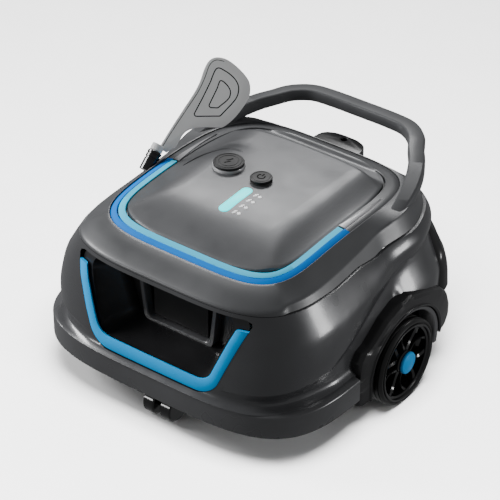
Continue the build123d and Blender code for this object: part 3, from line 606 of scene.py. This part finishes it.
def angle_at_y(size, y, power):
    """Plan angle of the outline's point at y on the right side."""
    low, high = (-math.pi / 2, math.pi / 2)
    for _ in range(50):
        mid = (low + high) / 2
        p, _ = plan_point(mid, size, 0, power)
        if p[1] < y:
            low = mid
        else:
            high = mid
    return low


front_right = angle_at_y(SKIRT_SIZE, -71.0, PLAN_POWER)
sweep_plan("skirt_front", SKIRT_SIZE, SKIRT_SECTION, -math.pi - front_right, front_right, 200, SKIRT,
           replaces=("front_skirt",), slot="skirt_grey", angle=40)
rear_right = angle_at_y(SKIRT_SIZE, 109.0, PLAN_POWER)
sweep_plan("skirt_rear", SKIRT_SIZE, SKIRT_SECTION, rear_right, math.pi - rear_right, 100, SKIRT,
           replaces=("rear_skirt",), slot="skirt_grey", angle=40)

# ---------------------------------------------------------------- rail ring, bezel strips and hood

BEZEL_OUT = (125.0, -144.5, 137.5)
BEZEL_MID = (117.5, -136.5, 130.5)
HOOD_PLAN = (109.7, -128.2, 123.2)


def rail_rings():
    """The rail ring: side band above the crease, shoulder, slope, and the step down to the bezel."""
    top = (126.2, -145.7, 138.6)
    columns = []
    step_down = [(0.8, 0.8), (1.0, 2.0), (1.0, 8.0), (4.0, 12.0)]
    for angle in ANGLES:
        side = side_angle(angle)
        seam = table(side, UPPER_CREASE) + 0.25
        band = smooth((side + 38) / 3.5) * (1 - smooth((side - 50) / 16))
        shoulder_z = table(side, SHOULDER_Z)
        shoulder_in = table(side, SHOULDER_IN)
        size = profile_size(seam)
        bulge = rear_bulge(side, seam)
        high_bulge = rear_bulge(side, shoulder_z)
        column = [(*plan_point(angle, size, WALL - bulge)[0], seam),
                  (*plan_point(angle, size, 0.1 + 2.6 * band - bulge)[0], seam)]
        low_in = 0.1 + 3.0 * band - bulge
        foot, _ = plan_point(angle, size, low_in)
        edge, _ = plan_point(angle, FOOT_SIZE, shoulder_in - high_bulge)
        for k in range(1, 7):
            t = k / 6
            bow = 1.6 * (1 - band) * math.sin(math.pi * t * 0.8)
            p = foot + (edge - foot) * t
            _, normal = plan_point(angle, FOOT_SIZE)
            column.append((*(p + normal * bow), seam + 0.6 + (shoulder_z - 1.2 - seam - 0.6) * t))
        b, _ = plan_point(angle, top, 0.0, BEZEL_POWER)
        z_end = crown_z(b[1]) - 0.6
        a, _ = plan_point(angle, FOOT_SIZE, shoulder_in + 1.2 - high_bulge)
        column.append((*a, shoulder_z))
        for k in range(1, 10):
            t = k / 9
            p = a + (b - a) * t
            hollow = -0.5 * band * math.sin(math.pi * t)
            crest = (1 - band) * 1.6 * math.sin(math.pi * t)
            column.append((*p, shoulder_z + (z_end - shoulder_z) * t + hollow + crest))
        for inset, drop in step_down:
            p, _ = plan_point(angle, top, inset, BEZEL_POWER)
            column.append((*p, crown_z(p[1]) - drop))
        columns.append(column)
    return [[column[r] for column in columns] for r in range(len(columns[0]))]


piece("rail_ring", stack(rail_rings(), loop=True), RAIL, replaces=("handle_frame",), slot="rail_grey",
      angle=BODY_ANGLE)

STRIP_END = -8.0
end_right = angle_at_y(BEZEL_OUT, STRIP_END, BEZEL_POWER)
for name, size, width, rise, material, node, slot in (
        ("strip_outer", BEZEL_OUT, 8.0, (-1.9, 0.0), BLUE_DARK, "accent_strip_dark", "blue_dark"),
        ("strip_inner", BEZEL_MID, 8.0, (0.0, 0.4), BLUE_LIGHT, "accent_strip_light", "blue_light")):
    section = [(0.1, -7.0), (0.1, rise[0] - 0.7), (0.7, rise[0] - 0.1), (width - 0.7, rise[1]),
               (width - 0.1, rise[1] - 0.5), (width - 0.1, -7.0)]
    sweep_plan(name, size, section, -math.pi - end_right, end_right, 220, material, power=BEZEL_POWER,
               crowned=True, replaces=(node,), slot=slot, angle=40)
section = [(0.1, -7.0), (0.1, -2.4), (0.7, -1.8), (8.0, -1.0), (15.3, 0.0), (15.9, -0.6), (15.9, -7.0)]
sweep_plan("bezel_rear", BEZEL_OUT, section, end_right + 0.002, math.pi - end_right - 0.002, 200, RAIL,
           power=BEZEL_POWER, crowned=True, replaces=("rear_trim_strip",), slot="trim_grey", angle=40)


def soft_min(values, power=-7.0):
    """A smallest value whose changeovers are rounded."""
    return sum((v + 1e-3) ** power for v in values) ** (1 / power)


HOOD_RISE = 12.6            # height of the plateau above the hood's edge
HOOD_MIDDLE = -2.0          # y where the hood's rings shrink to a point
HOOD_STEPS = 240
HOOD_RINGS = 70


def hood_height(x, y):
    """Height of the hood: a hipped plateau whose slopes run down to the bezel, with a hollow at its back."""
    side = max(0.0, min(1.0, (HOOD_PLAN[0] - abs(x)) / 46.0))
    front = max(0.0, min(1.0, (y - HOOD_PLAN[1]) / 100.0))
    back_edge = 92.0 - 0.0006 * x * x
    rear = max(0.0, min(1.0, (back_edge + 12 - y) / 16.0))
    side = 0.55 * side + 0.45 * smooth(side)
    front = 1 - (1 - front) ** 1.9
    rear = 0.2 + 0.8 * smooth(rear)
    lift = min(1.0, 1.06 * soft_min((side, front, rear)))
    dome = 1.2 * (1 - (x / 110.0) ** 2)
    behind = smooth((y - back_edge + 4) / 10) * smooth((122.5 - y) / 9)
    hollow = -3.6 * behind * smooth((108 - abs(x)) / 16)
    edge = crown_z(y) - 0.8
    return edge + (HOOD_RISE + dome + (CROWN_TOP - 0.8 - edge) * 0.75) * lift + hollow


rings = []
hood_angles = even_angles(HOOD_PLAN, BEZEL_POWER, HOOD_STEPS)
for inset, drop in [(3.0, 9.0), (0.3, 8.5), (0.3, 1.0)]:
    rim = [plan_point(a, HOOD_PLAN, inset, BEZEL_POWER)[0] for a in hood_angles]
    rings.append([(p[0], p[1], crown_z(p[1]) - drop) for p in rim])
for k in range(HOOD_RINGS):
    t = 1 - k / HOOD_RINGS
    ring = []
    for a in hood_angles:
        edge, _ = plan_point(a, HOOD_PLAN, 0.9, BEZEL_POWER)
        x, y = edge[0] * t, HOOD_MIDDLE + (edge[1] - HOOD_MIDDLE) * t
        ring.append((x, y, hood_height(x, y) - (0.35 if k == 0 else 0)))
    rings.append(ring)
points, faces = stack(rings)
apex = len(points)
points.append((0, HOOD_MIDDLE, hood_height(0, HOOD_MIDDLE)))
last = (len(rings) - 1) * HOOD_STEPS
faces += [(last + i, last + (i + 1) % HOOD_STEPS, apex) for i in range(HOOD_STEPS)]
hood = piece("hood_shell", (points, faces), HOOD, replaces=("hood_cover",), slot="hood_grey", angle=40)

# ---------------------------------------------------------------- handle

# points of the right half: x, y, z, half width and half height
HANDLE_PATH = [(141, 8, 176, 5, 6), (139, 45, 186, 6.5, 8), (134, 84, 196, 8.5, 9),
               (124, 115, 203.5, 9.5, 8.6), (112, 138, 208.5, 9.5, 8.2), (99.5, 155, 211.8, 9.5, 7.8),
               (87, 174, 213.6, 10, 7.6), (68, 188, 214.2, 10.3, 7.5), (44, 192, 214.3, 10.4, 7.4),
               (0, 192.5, 214.3, 10.4, 7.4)]


def handle_section(w, h):
    """Outline of the handle's section, with a thin raised edge on the outside."""
    return [(w - 3.0, h * 0.80), (w - 1.0, h * 0.62), (w, h * 0.3), (w, -h * 0.5), (w - 0.8, -h * 0.8),
            (w - 2.6, -h), (0, -h * 1.02), (-w + 2.6, -h), (-w + 0.8, -h * 0.85), (-w, -h * 0.5),
            (-w, h * 0.72), (-w + 0.6, h * 0.92), (-w + 1.8, h)]


half = spline(HANDLE_PATH, 70)
full = half + [np.array([-p[0], *p[1:]]) for p in half[::-1][1:]]
rings = []
for k, p in enumerate(full):
    t = full[min(k + 1, len(full) - 1)][:3] - full[max(k - 1, 0)][:3]
    t /= np.linalg.norm(t)
    across = np.cross(t, [0, 0, 1.0])
    across /= np.linalg.norm(across)
    up = np.cross(across, t)
    rings.append([p[:3] + across * a + up * b for a, b in handle_section(p[3], p[4])])
piece("handle_bow", solid(rings), RAIL, slot="rail_grey", angle=30)

# ---------------------------------------------------------------- vane

LEAN, TURN = math.radians(42), math.radians(34)
FOOT = np.array([-136.0, -25.0, 200.0])
STEM = np.array([0, math.cos(LEAN), math.sin(LEAN)])
SIDEWAYS = np.array([1.0, 0, 0])
FLAG = np.cos(TURN) * SIDEWAYS + np.sin(TURN) * np.cross(STEM, SIDEWAYS)
FACE = np.cross(FLAG, STEM)
VANE_HALF = 2.2             # half thickness of the blade
VANE_OUT = [(0.8, 17), (2.0, 24), (3.6, 44), (6.2, 70), (8.4, 91), (8.4, 106), (6.4, 120), (6.8, 131),
            (12, 138.4), (22.8, 142), (36.2, 140.5), (50, 136), (59.3, 130), (65.0, 119), (65.4, 108),
            (63, 92), (58.8, 79.2), (53.5, 70.5), (44.4, 66.0), (34, 60.5), (24.5, 53.6), (19.6, 45.8),
            (18.4, 37), (18.0, 27), (11.5, 17)]
# each D: its corners, then its bowed part
D_LARGE = [(19.6, 90), (19.2, 66.6), (46.3, 81.1)]
D_LARGE_BOW = [(51.6, 99), (53.2, 107), (52.6, 114), (49, 121.4), (41, 126.8), (29, 129.3), (18.6, 127.4),
               (19.2, 110)]
D_SMALL = [(29.4, 99.8), (29.7, 83.4), (39.8, 88.1)]
D_SMALL_BOW = [(44.6, 99), (46.0, 105.5), (43.4, 112.2), (36, 116.6), (28.6, 117.0), (29.2, 108)]
SPINE = [(4.4, 20), (6.2, 41), (9.4, 70), (12.0, 95), (11.4, 112), (9.8, 127), (13.5, 135.4), (22.5, 138.6)]


def on_vane(p, height):
    """Place of a point of the blade's outline, at a height above its middle plane."""
    return FOOT + FLAG * p[0] + STEM * p[1] + FACE * height


outline = spline(VANE_OUT[:-1], 110) + [np.array(VANE_OUT[-1], float)]
rings = [[on_vane(p, h) for p in outline] for h in (-VANE_HALF, VANE_HALF)]
vane = piece("vane_plate", solid(rings), VANE, body="steering_vane", replaces=("vane",),
             slot="vane_grey", angle=40)
bevel(vane, 0.7)


def groove(path, closed, width, depth=0.7):
    """Cuts a groove along a path into both faces of the vane; its walls and floor are near-black, a painted
    shade.
    """
    ring_out, ring_in = sides_of(path, width, closed)
    for face_sign in (1, -1):
        low, high = sorted((face_sign * (VANE_HALF - depth), face_sign * (VANE_HALF + 1.0)))
        rows = [[on_vane(p, h) for p in side]
                for side, h in ((ring_in, low), (ring_out, low), (ring_out, high), (ring_in, high))]
        if closed:
            shape = stack(rows, loop=True)
        else:
            shape = solid([[row[k] for row in rows] for k in range(len(path))])
        cut(vane, shape, material=GROOVE_SHADE_AND_PRINT, angle=40)


def d_shape(corners, bow, count):
    """A D outline: straight back and lower corners, with a bowed upper part."""
    path = rounded_path([bow[-1]] + corners + [bow[0]], 2.5)
    return densify(path + spline(bow, count)[1:], 3.0)[:-1]


groove(d_shape(D_LARGE, D_LARGE_BOW, 46), True, width=1.3)
groove(d_shape(D_SMALL, D_SMALL_BOW, 36), True, width=1.3)
groove(spline(SPINE, 50), False, width=0.8)


def stem_rings(profile, count):
    """Rings round the vane's stem from pairs of height along it and radius."""
    across = np.cross(STEM, SIDEWAYS)
    return [[FOOT + STEM * s + radius * (SIDEWAYS * math.cos(a) + across * math.sin(a))
             for a in circle_angles(count)] for s, radius in profile]


rings = stem_rings([(-12, 4.0), (10.5, 4.0), (12.5, 6.6), (13, 7.2), (20, 7.2), (20.6, 6.6), (21, 0.05)], 48)
piece("vane_stem", solid(rings), VANE, body="steering_vane", slot="vane_grey", angle=40)
rings = stem_rings([(-12, 4.05), (-12, 8.0), (1.5, 8.0), (2.0, 7.2), (3.4, 7.2), (3.9, 8.2), (7.0, 8.2),
                    (7.4, 7.4), (8.4, 7.4), (8.8, 8.2), (11.2, 8.2), (11.8, 7.6), (12.0, 4.05)], 64)
piece("vane_collar", stack(rings, loop=True), BLACK_GLOSS, replaces=("vane_socket",), slot="black_gloss",
      angle=30)

# ---------------------------------------------------------------- turned pieces


def turned(name, profile, centre, axis, count, material, **extra):
    """A profile of (radius, height along the axis) pairs turned about an axis.

    One that ends on the axis gets a flat first end, and any other is closed into a ring."""
    c = np.array(centre, float)
    n = np.array(axis, float)
    n /= np.linalg.norm(n)
    u = np.cross(n, [0, 1.0, 0] if abs(n[1]) < 0.9 else [1.0, 0, 0])
    u /= np.linalg.norm(u)
    v = np.cross(n, u)
    rings = [[c + n * h + (u * math.cos(a) + v * math.sin(a)) * max(r, 1e-4)
              for a in circle_angles(count)] for r, h in profile]
    pointed = profile[-1][0] == 0
    return piece(name, stack(rings, caps=(pointed, False), loop=not pointed), material, **extra)


TOP = 215.5
CAP = (-47.0, 3.0)
CAP_PROFILE = [(11.8, -8), (11.8, 0.4), (16.0, 1.4), (17.0, 1.7), (17.5, 2.2), (17.5, 3.5), (17.0, 4.2),
               (15.4, 4.5), (15.1, 4.1), (14.3, 4.1), (14.0, 4.5), (11.6, 4.55), (11.3, 4.15), (10.6, 4.15),
               (10.3, 4.55), (0, 4.7)]
BUTTON_PROFILE = [(5.4, -12), (5.4, -8), (10.9, -8), (10.9, 1.5), (12.2, 1.65), (12.5, 2.0), (12.5, 2.6),
                  (12.0, 3.1), (10.6, 3.3), (10.3, 2.95), (9.6, 2.9), (9.3, 3.25), (0, 3.4)]
CAP_RING = [(15.9, -3), (18.4, -3), (18.4, 0.7), (17.9, 1.3), (16.4, 1.3), (15.9, 0.9)]
UP = (0, 0, 1)
turned("cap_base_ring", CAP_RING, (*CAP, TOP), UP, 72, TRIM_GREY, slot="trim_grey", angle=40)
turned("cap_disc", CAP_PROFILE, (*CAP, TOP), UP, 72, BUTTON, body="cap", replaces=("charge_cap",),
       slot="button_grey", angle=30)
turned("button_disc", BUTTON_PROFILE, (0, 0, TOP), UP, 72, BUTTON, body="button", replaces=("power_button",),
       slot="button_grey", angle=30)


def mark(name, paths, width, place, height, material, body="hull", slot=None):
    """Flat raised lines on a level surface: each path becomes a thin strip."""
    points, faces = [], []
    for path in paths:
        path = [np.array(p, float) for p in path]
        left, right = sides_of(path, width)
        sections = [[place(a, 0), place(b, 0), place(b, height), place(a, height)]
                    for a, b in zip(left, right)]
        extend(points, faces, *solid(sections))
    return piece(name, (points, faces), material, body=body, slot=slot, angle=40)


def arc(centre, radius, start, end, count):
    """Points of an arc, between two angles in degrees."""
    angles = [math.radians(start + (end - start) * k / count) for k in range(count + 1)]
    return [(centre[0] + radius * math.cos(a), centre[1] + radius * math.sin(a)) for a in angles]


def on_button(q, h):
    return (q[0], q[1], TOP + 3.3 + h)


def on_cap(q, h):
    return (CAP[0] + q[0], CAP[1] + q[1], TOP + 4.62 + h)


mark("power_symbol", [arc((0, 0), 4.2, 130, 410, 28), [(0, 1.0), (0, 6.0)]], 1.3, on_button, 0.22, GROOVE_SHADE_AND_PRINT,
     body="button", slot="black_gloss")
mark("charge_symbol", [[(1.6, 6.0), (-2.6, -0.4), (2.2, 0.5), (-1.6, -6.0)]], 1.4, on_cap, 0.22, GROOVE_SHADE_AND_PRINT,
     body="cap", slot="black_gloss")


def on_hood(x, y, height):
    return (x, y, hood_height(x, y) + height)


# lit bar and the level marks beside it
BAR_HALF = 6.4
BAR_ENDS = (-26.5, -65.5)
BAR_MIDDLE = sum(BAR_ENDS) / 2
outline = arc((0, BAR_ENDS[0]), BAR_HALF, 0, 180, 20) + arc((0, BAR_ENDS[1]), BAR_HALF, 180, 360, 20)
rings = [[on_hood(x, y, -3.0) for x, y in outline], [on_hood(x, y, 0.35) for x, y in outline],
         [on_hood(x * 0.86, (y - BAR_MIDDLE) * 0.975 + BAR_MIDDLE, 0.75) for x, y in outline]]
piece("led_bar", solid(rings), LED, replaces=("led_lens",), slot="led_cyan", angle=40)
rows = []
for k in range(4):
    y = BAR_ENDS[1] + 12.5 * k
    rows.append([(12.0, y - 2.6), (14.2, y + 0.3), (12.4, y + 0.5), (14.8, y + 3.2)])
    rows.append([(18.9, y - 1.9), (18.9, y + 2.1)])
    rows.append([(16.9, y + 0.1), (20.9, y + 0.1)])
# printed level marks, made brighter by a painted glow in their material
mark("level_marks", rows, 1.5, lambda q, h: on_hood(q[0], q[1], 0.15 + h), 0.35, MARK_PAINTED_GLOW, slot="trim_grey")

# curved groove behind the charge cap
path = spline([(-97, -16), (-92, 8), (-82, 23), (-69, 33), (-52, 36)], 60)
sections = []
for k, (left, right) in enumerate(zip(*sides_of(path, 3.8))):
    narrowing = min(1.0, (k + 4) / 14, (64 - k) / 8)
    row = []
    for off, h in ((-1, 4), (1, 4), (1, -0.2), (0.4, -1.3), (-0.4, -1.3), (-1, -0.2)):
        q = (left + right) / 2 + (left - right) / 2 * off * narrowing
        row.append(on_hood(q[0], q[1], h))
    sections.append(row)
cut(hood, solid(sections), material=RAIL, angle=40)

# ---------------------------------------------------------------- fenders and wheels

WHEEL_Y, WHEEL_Z = 5.0, 51.0
ARCH_MID = (15.5, 50.0)
FENDER_OUT = [(-70, 30), (-70, 47), (-76, 49), (-76, 62), (-69, 65), (-66.5, 84), (-59, 92.5), (-46, 95.5),
              (-38, 100), (-16, 112), (10, 118.5), (32, 119.5), (56, 112), (74, 106), (92, 97), (103, 86),
              (108.5, 70), (108.5, 56), (103, 48), (96, 44.5)]
ARCH_FRONT = (-50.0, 30.0)
ARCH_REAR = (81.0, 44.5)
# height and how far the corner guard stands out
GUARD_OUT = [(68, 18), (76, 19.5), (100, 19.5), (120, 18), (135, 13.5), (148, 10.5), (160, 8)]
# plan angle and height of the corner guard's top edge
GUARD_TOP = [(41.5, 118), (44, 132), (48, 148), (54, 156), (68, 158)]
GUARD_LOW = 70.6
GUARD_START = 41.5
GUARD_SPAN = 26.5
GUARD_COLUMNS = 36
GUARD_ROWS = 40
# sections of the fender: pairs of share of the way in and x
PLATE_SECTION = [(1.0, 160.0), (1.0, 186.5), (0.99, 188.2), (0.90, 188.8), (0.86, 188.4), (0.84, 186.8),
                 (0.78, 186.2), (0.30, 185.4), (0.10, 183.2), (0.02, 179.5), (0.0, 176.0), (0.0, 160.0)]
LIP_SECTION = [(0, 165.0), (0, 186.0), (0.15, 187.3), (0.8, 187.3), (1.0, 186.3), (1.0, 183.5),
               (0.55, 182.8), (0.55, 165.0)]
# profiles of the wheel: pairs of radius and x
TREAD = [(46.1, 168.4), (48.4, 168.0), (50.3, 169.2), (51.0, 171.0)]
for x in (174.5, 180.0, 185.5, 191.0):
    TREAD += [(51.0, x), (50.1, x + 0.4), (50.1, x + 1.2), (51.0, x + 1.6)]
TREAD += [(50.9, 193.6), (50.2, 195.4), (48.8, 196.6), (47.4, 196.4), (46.9, 195.7), (46.1, 195.6)]
RIM = [(46.0, 169.0), (46.0, 195.8), (45.6, 196.9), (44.6, 197.3), (43.6, 197.0), (43.1, 196.0),
       (42.7, 194.6), (41.4, 194.2), (40.6, 193.4), (40.3, 191.0), (40.3, 176.0), (42.0, 170.0),
       (43.0, 169.0)]
HUB = [(7.2, 171.5), (12.5, 171.5), (13.2, 172.5), (13.6, 188.0), (14.0, 192.6), (13.2, 194.2),
       (7.2, 194.6)]
DOME = [(8.4, 192.0), (12.3, 194.8), (12.9, 195.6), (12.9, 197.0), (12.2, 198.2), (10.6, 198.9),
        (9.0, 199.1), (8.6, 198.9), (8.0, 199.2), (0, 199.6)]
SPOKES = 10
SPOKE_STEPS = 14
SIDES = (("right", 1), ("left", -1))


def arch_point(half_long, half_high, a, centre=ARCH_MID):
    """A point of an oval in y and z, by default round the wheel arch."""
    return np.array([centre[0] + half_long * math.cos(a), centre[1] + half_high * math.sin(a)])


def well_outline(half_long, half_high, floor_z):
    """The wheel well's oval, level at the bottom."""
    oval = [arch_point(half_long, half_high, a) for a in circle_angles(96)]
    return [(y, max(floor_z, z)) for y, z in oval]


def side_rings(sign, rows):
    """Rings at the given distances from the middle: rows of x and the (y, z) outline."""
    return [[(sign * x, p[0], p[1]) for p in ring] for x, ring in rows]


def side_band(name, sign, outside, inside, section, material, **extra):
    """A strip between two open paths on the side: section holds pairs of (share of the way in, x)."""
    rows = [(x, between(outside, inside, share)) for share, x in section]
    return closed_band(name, side_rings(sign, rows), material, **extra)


for _, sign in SIDES:
    outline = well_outline(66.2, 58.2, 30.0)
    well = side_rings(sign, ((159.0, outline), (230.0, outline)))
    cut(shell, solid(well), material=BLACK, angle=BODY_ANGLE)

for side_name, sign in SIDES:
    # plate with a bevelled outer edge, round the wheel arch
    count = 220
    outer = even_path(rounded_path([np.array(p, float) for p in FENDER_OUT], 3.0), count)
    arch = [arch_point(65, 57, math.radians(193 - 206 * k / count)) for k in range(count + 1)]
    arch[0] = np.array(ARCH_FRONT)
    for k in range(1, 12):
        climb = (arch[12][1] - ARCH_FRONT[1]) * k / 12
        arch[k] = np.array([-49.6 - 0.2 * (1 - k / 12), ARCH_FRONT[1] + climb])
    for k in range(count - 10, count + 1):
        arch[k] = arch[count - 11] + (np.array(ARCH_REAR) - arch[count - 11]) * (k - count + 11) / 11
    side_band("fender_plate_" + side_name, sign, outer, arch, PLATE_SECTION, FENDER,
              replaces=("fender_" + side_name,), slot="fender_black", angle=28)
    # inner wall of the wheel well
    outline = well_outline(67.0, 59.0, 31.0)
    hole = [arch_point(9, 9, a, (WHEEL_Y, WHEEL_Z)) for a in circle_angles(96)]
    wall = side_rings(sign, ((157.2, outline), (160.0, outline), (160.0, hole), (157.2, hole)))
    piece("fender_wall_" + side_name, stack(wall, loop=True), BLACK, slot="fender_black", angle=30)
    # lip ring inside the arch
    lip_angles = [math.radians(196 - 212 * k / 90) for k in range(91)]
    lip_out = [arch_point(64.2, 56.2, a) for a in lip_angles]
    lip_in = [arch_point(59.8, 53.8, a, (12.2, 50.3)) for a in lip_angles]
    side_band("fender_lip_" + side_name, sign, lip_out, lip_in, LIP_SECTION, SKIRT,
              slot="fender_black", angle=28)
    # guard on the rear corner
    columns, back_columns = [], []
    for i in range(GUARD_COLUMNS + 1):
        side = GUARD_START + GUARD_SPAN * i / GUARD_COLUMNS
        edge = min(i, GUARD_COLUMNS - i)
        top_z = table(side, GUARD_TOP)
        column, back_column = [], []
        for k in range(GUARD_ROWS + 1):
            z = GUARD_LOW + (top_z - GUARD_LOW) * k / GUARD_ROWS
            rise = min(1.0, (edge / 4) ** 0.5, (min(k, GUARD_ROWS - k) / 5) ** 0.5)
            base = side_relief(side, z, table(side, LOWER_CREASE), table(side, UPPER_CREASE))
            proud = max(base + 1.2, table(z, GUARD_OUT) * (1 - 0.35 * smooth((side - 54) / 14)))
            out = base - 2.5 + (proud - base + 2.5) * rise
            p, _ = plan_point(math.radians(side), profile_size(z), -out)
            column.append((sign * p[0], p[1], z))
            p, _ = plan_point(math.radians(side), profile_size(z), -base + 3.0)
            back_column.append((sign * p[0], p[1], z))
        columns.append(column)
        back_columns.append(back_column)
    closed_band("corner_guard_" + side_name, columns + back_columns[::-1], FENDER, slot="fender_black",
                angle=35)

    # wheel: tyre, rim, spokes and hub
    wheel = "wheel_" + side_name
    centre, axis = (0, WHEEL_Y, WHEEL_Z), (sign, 0, 0)
    turned("tyre_" + side_name + "_tread", TREAD, centre, axis, 120, TYRE, body=wheel,
           replaces=("tyre_" + side_name,), slot="tyre_rubber", angle=30)
    turned("rim_ring_" + side_name, RIM, centre, axis, 120, BLACK_GLOSS, body=wheel,
           replaces=("wheel_rim_" + side_name,), slot="black_gloss", angle=25)
    turned("rim_hub_" + side_name, HUB, centre, axis, 72, BLACK_GLOSS, body=wheel, slot="black_gloss",
           angle=30)
    points, faces = [], []
    for spoke in range(SPOKES):
        hand = 1 if spoke % 2 == 0 else -1
        mid = math.radians(36 * (spoke // 2) * 2 + hand * 9)
        sections = []
        for k in range(SPOKE_STEPS + 1):
            t = k / SPOKE_STEPS
            r = 12.0 + 29.5 * t
            a = mid + hand * math.radians(15 * math.sin(math.pi * t * 0.85) - 4 * t)
            w = 2.9 - 1.1 * math.sin(math.pi * t)
            x = 193.4 - 5.0 * math.sin(math.pi * (0.15 + 0.7 * t)) + 1.6 * t
            tilt = hand * 0.5 * math.sin(math.pi * t)
            radial = np.array([math.cos(a), math.sin(a)])
            cross = np.array([-math.sin(a), math.cos(a)])
            row = []
            for off, drop in ((-w, -1.2), (-w * 0.7, 0.0), (w * 0.7, 0.0), (w, -1.2), (w * 0.9, -10.0),
                              (-w * 0.9, -10.0)):
                q = radial * r + cross * off
                row.append((sign * (x + drop + tilt * off), WHEEL_Y + q[0], WHEEL_Z + q[1]))
            sections.append(row)
        extend(points, faces, *solid(sections))
    piece("rim_spokes_" + side_name, (points, faces), BLACK_GLOSS, body=wheel, slot="black_gloss", angle=35)
    turned("hub_dome_" + side_name, DOME, centre, axis, 72, HUB_BLUE, body=wheel,
           replaces=("hub_cap_" + side_name,), slot="hub_blue", angle=30)

# pale chamfer that runs on behind the blue strips
for side_name, sign in SIDES:
    start = angle_at_y(BEZEL_MID, -7.0, BEZEL_POWER)
    end = angle_at_y(BEZEL_MID, 66.0, BEZEL_POWER)
    rings = []
    for k in range(41):
        t = k / 40
        row = []
        inner_edge = 7.0 * (1 - t) + 1.6
        for inset, rise in ((0.4, -3.0), (0.4, -0.45), (0.9, -0.15), (6.6 * (1 - t) + 1.4, 0.55),
                            (inner_edge, 0.2), (inner_edge, -3.0)):
            p, _ = plan_point(start + (end - start) * t, BEZEL_MID, inset, BEZEL_POWER)
            row.append((sign * p[0], p[1], crown_z(p[1]) + rise))
        rings.append(row)
    piece("bezel_wedge_" + side_name, solid(rings), TRIM_GREY, slot="trim_grey", angle=30)

# rope tab behind the hood
TAB_OUT = [(-33, 128), (-31, 150), (-27, 158.5), (-20, 163), (-10, 165.5), (10, 165.5), (20, 163),
           (27, 158.5), (31, 150), (33, 128)]
tab = piece("tab_plate", prism(spline(TAB_OUT, 80), 178.0, 189.6, upright=True), FENDER,
            replaces=("rear_tab",), slot="fender_black", angle=40)
cut(tab, prism(arc((0, 158), 4.0, 0, 350, 35), 170.0, 200.0, upright=True), angle=40)
bevel(tab, 1.6)

# ---------------------------------------------------------------- stage, camera, light

SPAN = 6.0
mesh = bpy.data.meshes.new("floor")
corners = [(-SPAN, -SPAN, 0), (SPAN, -SPAN, 0), (SPAN, SPAN, 0), (-SPAN, SPAN, 0)]
mesh.from_pydata(corners, [], [(0, 1, 2, 3)])
FLOOR = plastic("floor_mat", (0.80, 0.80, 0.80), rough=0.7, bump=0.0, tone=0.01, wear=0, specular=0.2)
mesh.materials.append(FLOOR)
floor = bpy.data.objects.new("floor", mesh)
bpy.context.scene.collection.objects.link(floor)

AZ, EL = math.radians(37.1), math.radians(34.1)
DISTANCE = 2.74118
LENS = 167.76
back = Vector((math.sin(AZ) * math.cos(EL), -math.cos(AZ) * math.cos(EL), math.sin(EL)))
aim = Vector((-0.082, 0.088, 0.041))
camera_data = bpy.data.cameras.new("camera")
camera_data.sensor_width = 36.0
camera_data.lens = LENS
camera_data.clip_end = 50.0
camera = bpy.data.objects.new("camera", camera_data)
camera.location = aim + back * DISTANCE
camera.rotation_euler = (-back).to_track_quat("-Z", "Y").to_euler()
bpy.context.scene.collection.objects.link(camera)
bpy.context.scene.camera = camera


def area(name, where, target, size, power):
    """A rectangular soft light, aimed at a point."""
    light = bpy.data.lights.new(name, "AREA")
    light.shape = "RECTANGLE"
    light.size, light.size_y = size
    light.energy = power
    lamp = bpy.data.objects.new(name, light)
    lamp.location = where
    lamp.rotation_euler = (Vector(where) - Vector(target)).to_track_quat("Z", "Y").to_euler()
    bpy.context.scene.collection.objects.link(lamp)
    return lamp


area("key_left", (-1.7, -0.7, 1.25), (0, 0, 0.12), (0.7, 0.7), 50)
area("top_back", (-0.8, 1.3, 1.5), (0, 0.05, 0.15), (1.2, 0.4), 24)
area("right_back", (1.7, 0.75, 0.38), (0.1, 0.05, 0.10), (0.3, 0.7), 13)
area("front_low", (-1.2, -1.7, 0.45), (-0.05, -0.1, 0.08), (0.7, 0.25), 11)
floor_light = area("floor_light", (0.30, -0.30, 1.7), (0.30, -0.30, 0), (1.0, 1.0), 165)
world = bpy.data.worlds.new("studio")
bpy.context.scene.world = world
world.use_nodes = True
world.node_tree.nodes["Background"].inputs["Color"].default_value = (0.93, 0.94, 0.95, 1)
world.node_tree.nodes["Background"].inputs["Strength"].default_value = 0.22
floor.visible_glossy = False
floor.visible_diffuse = False
lit = bpy.data.collections.new("lit_floor")
bpy.context.scene.collection.children.link(lit)
lit.objects.link(floor)
floor_light.light_linking.receiver_collection = lit
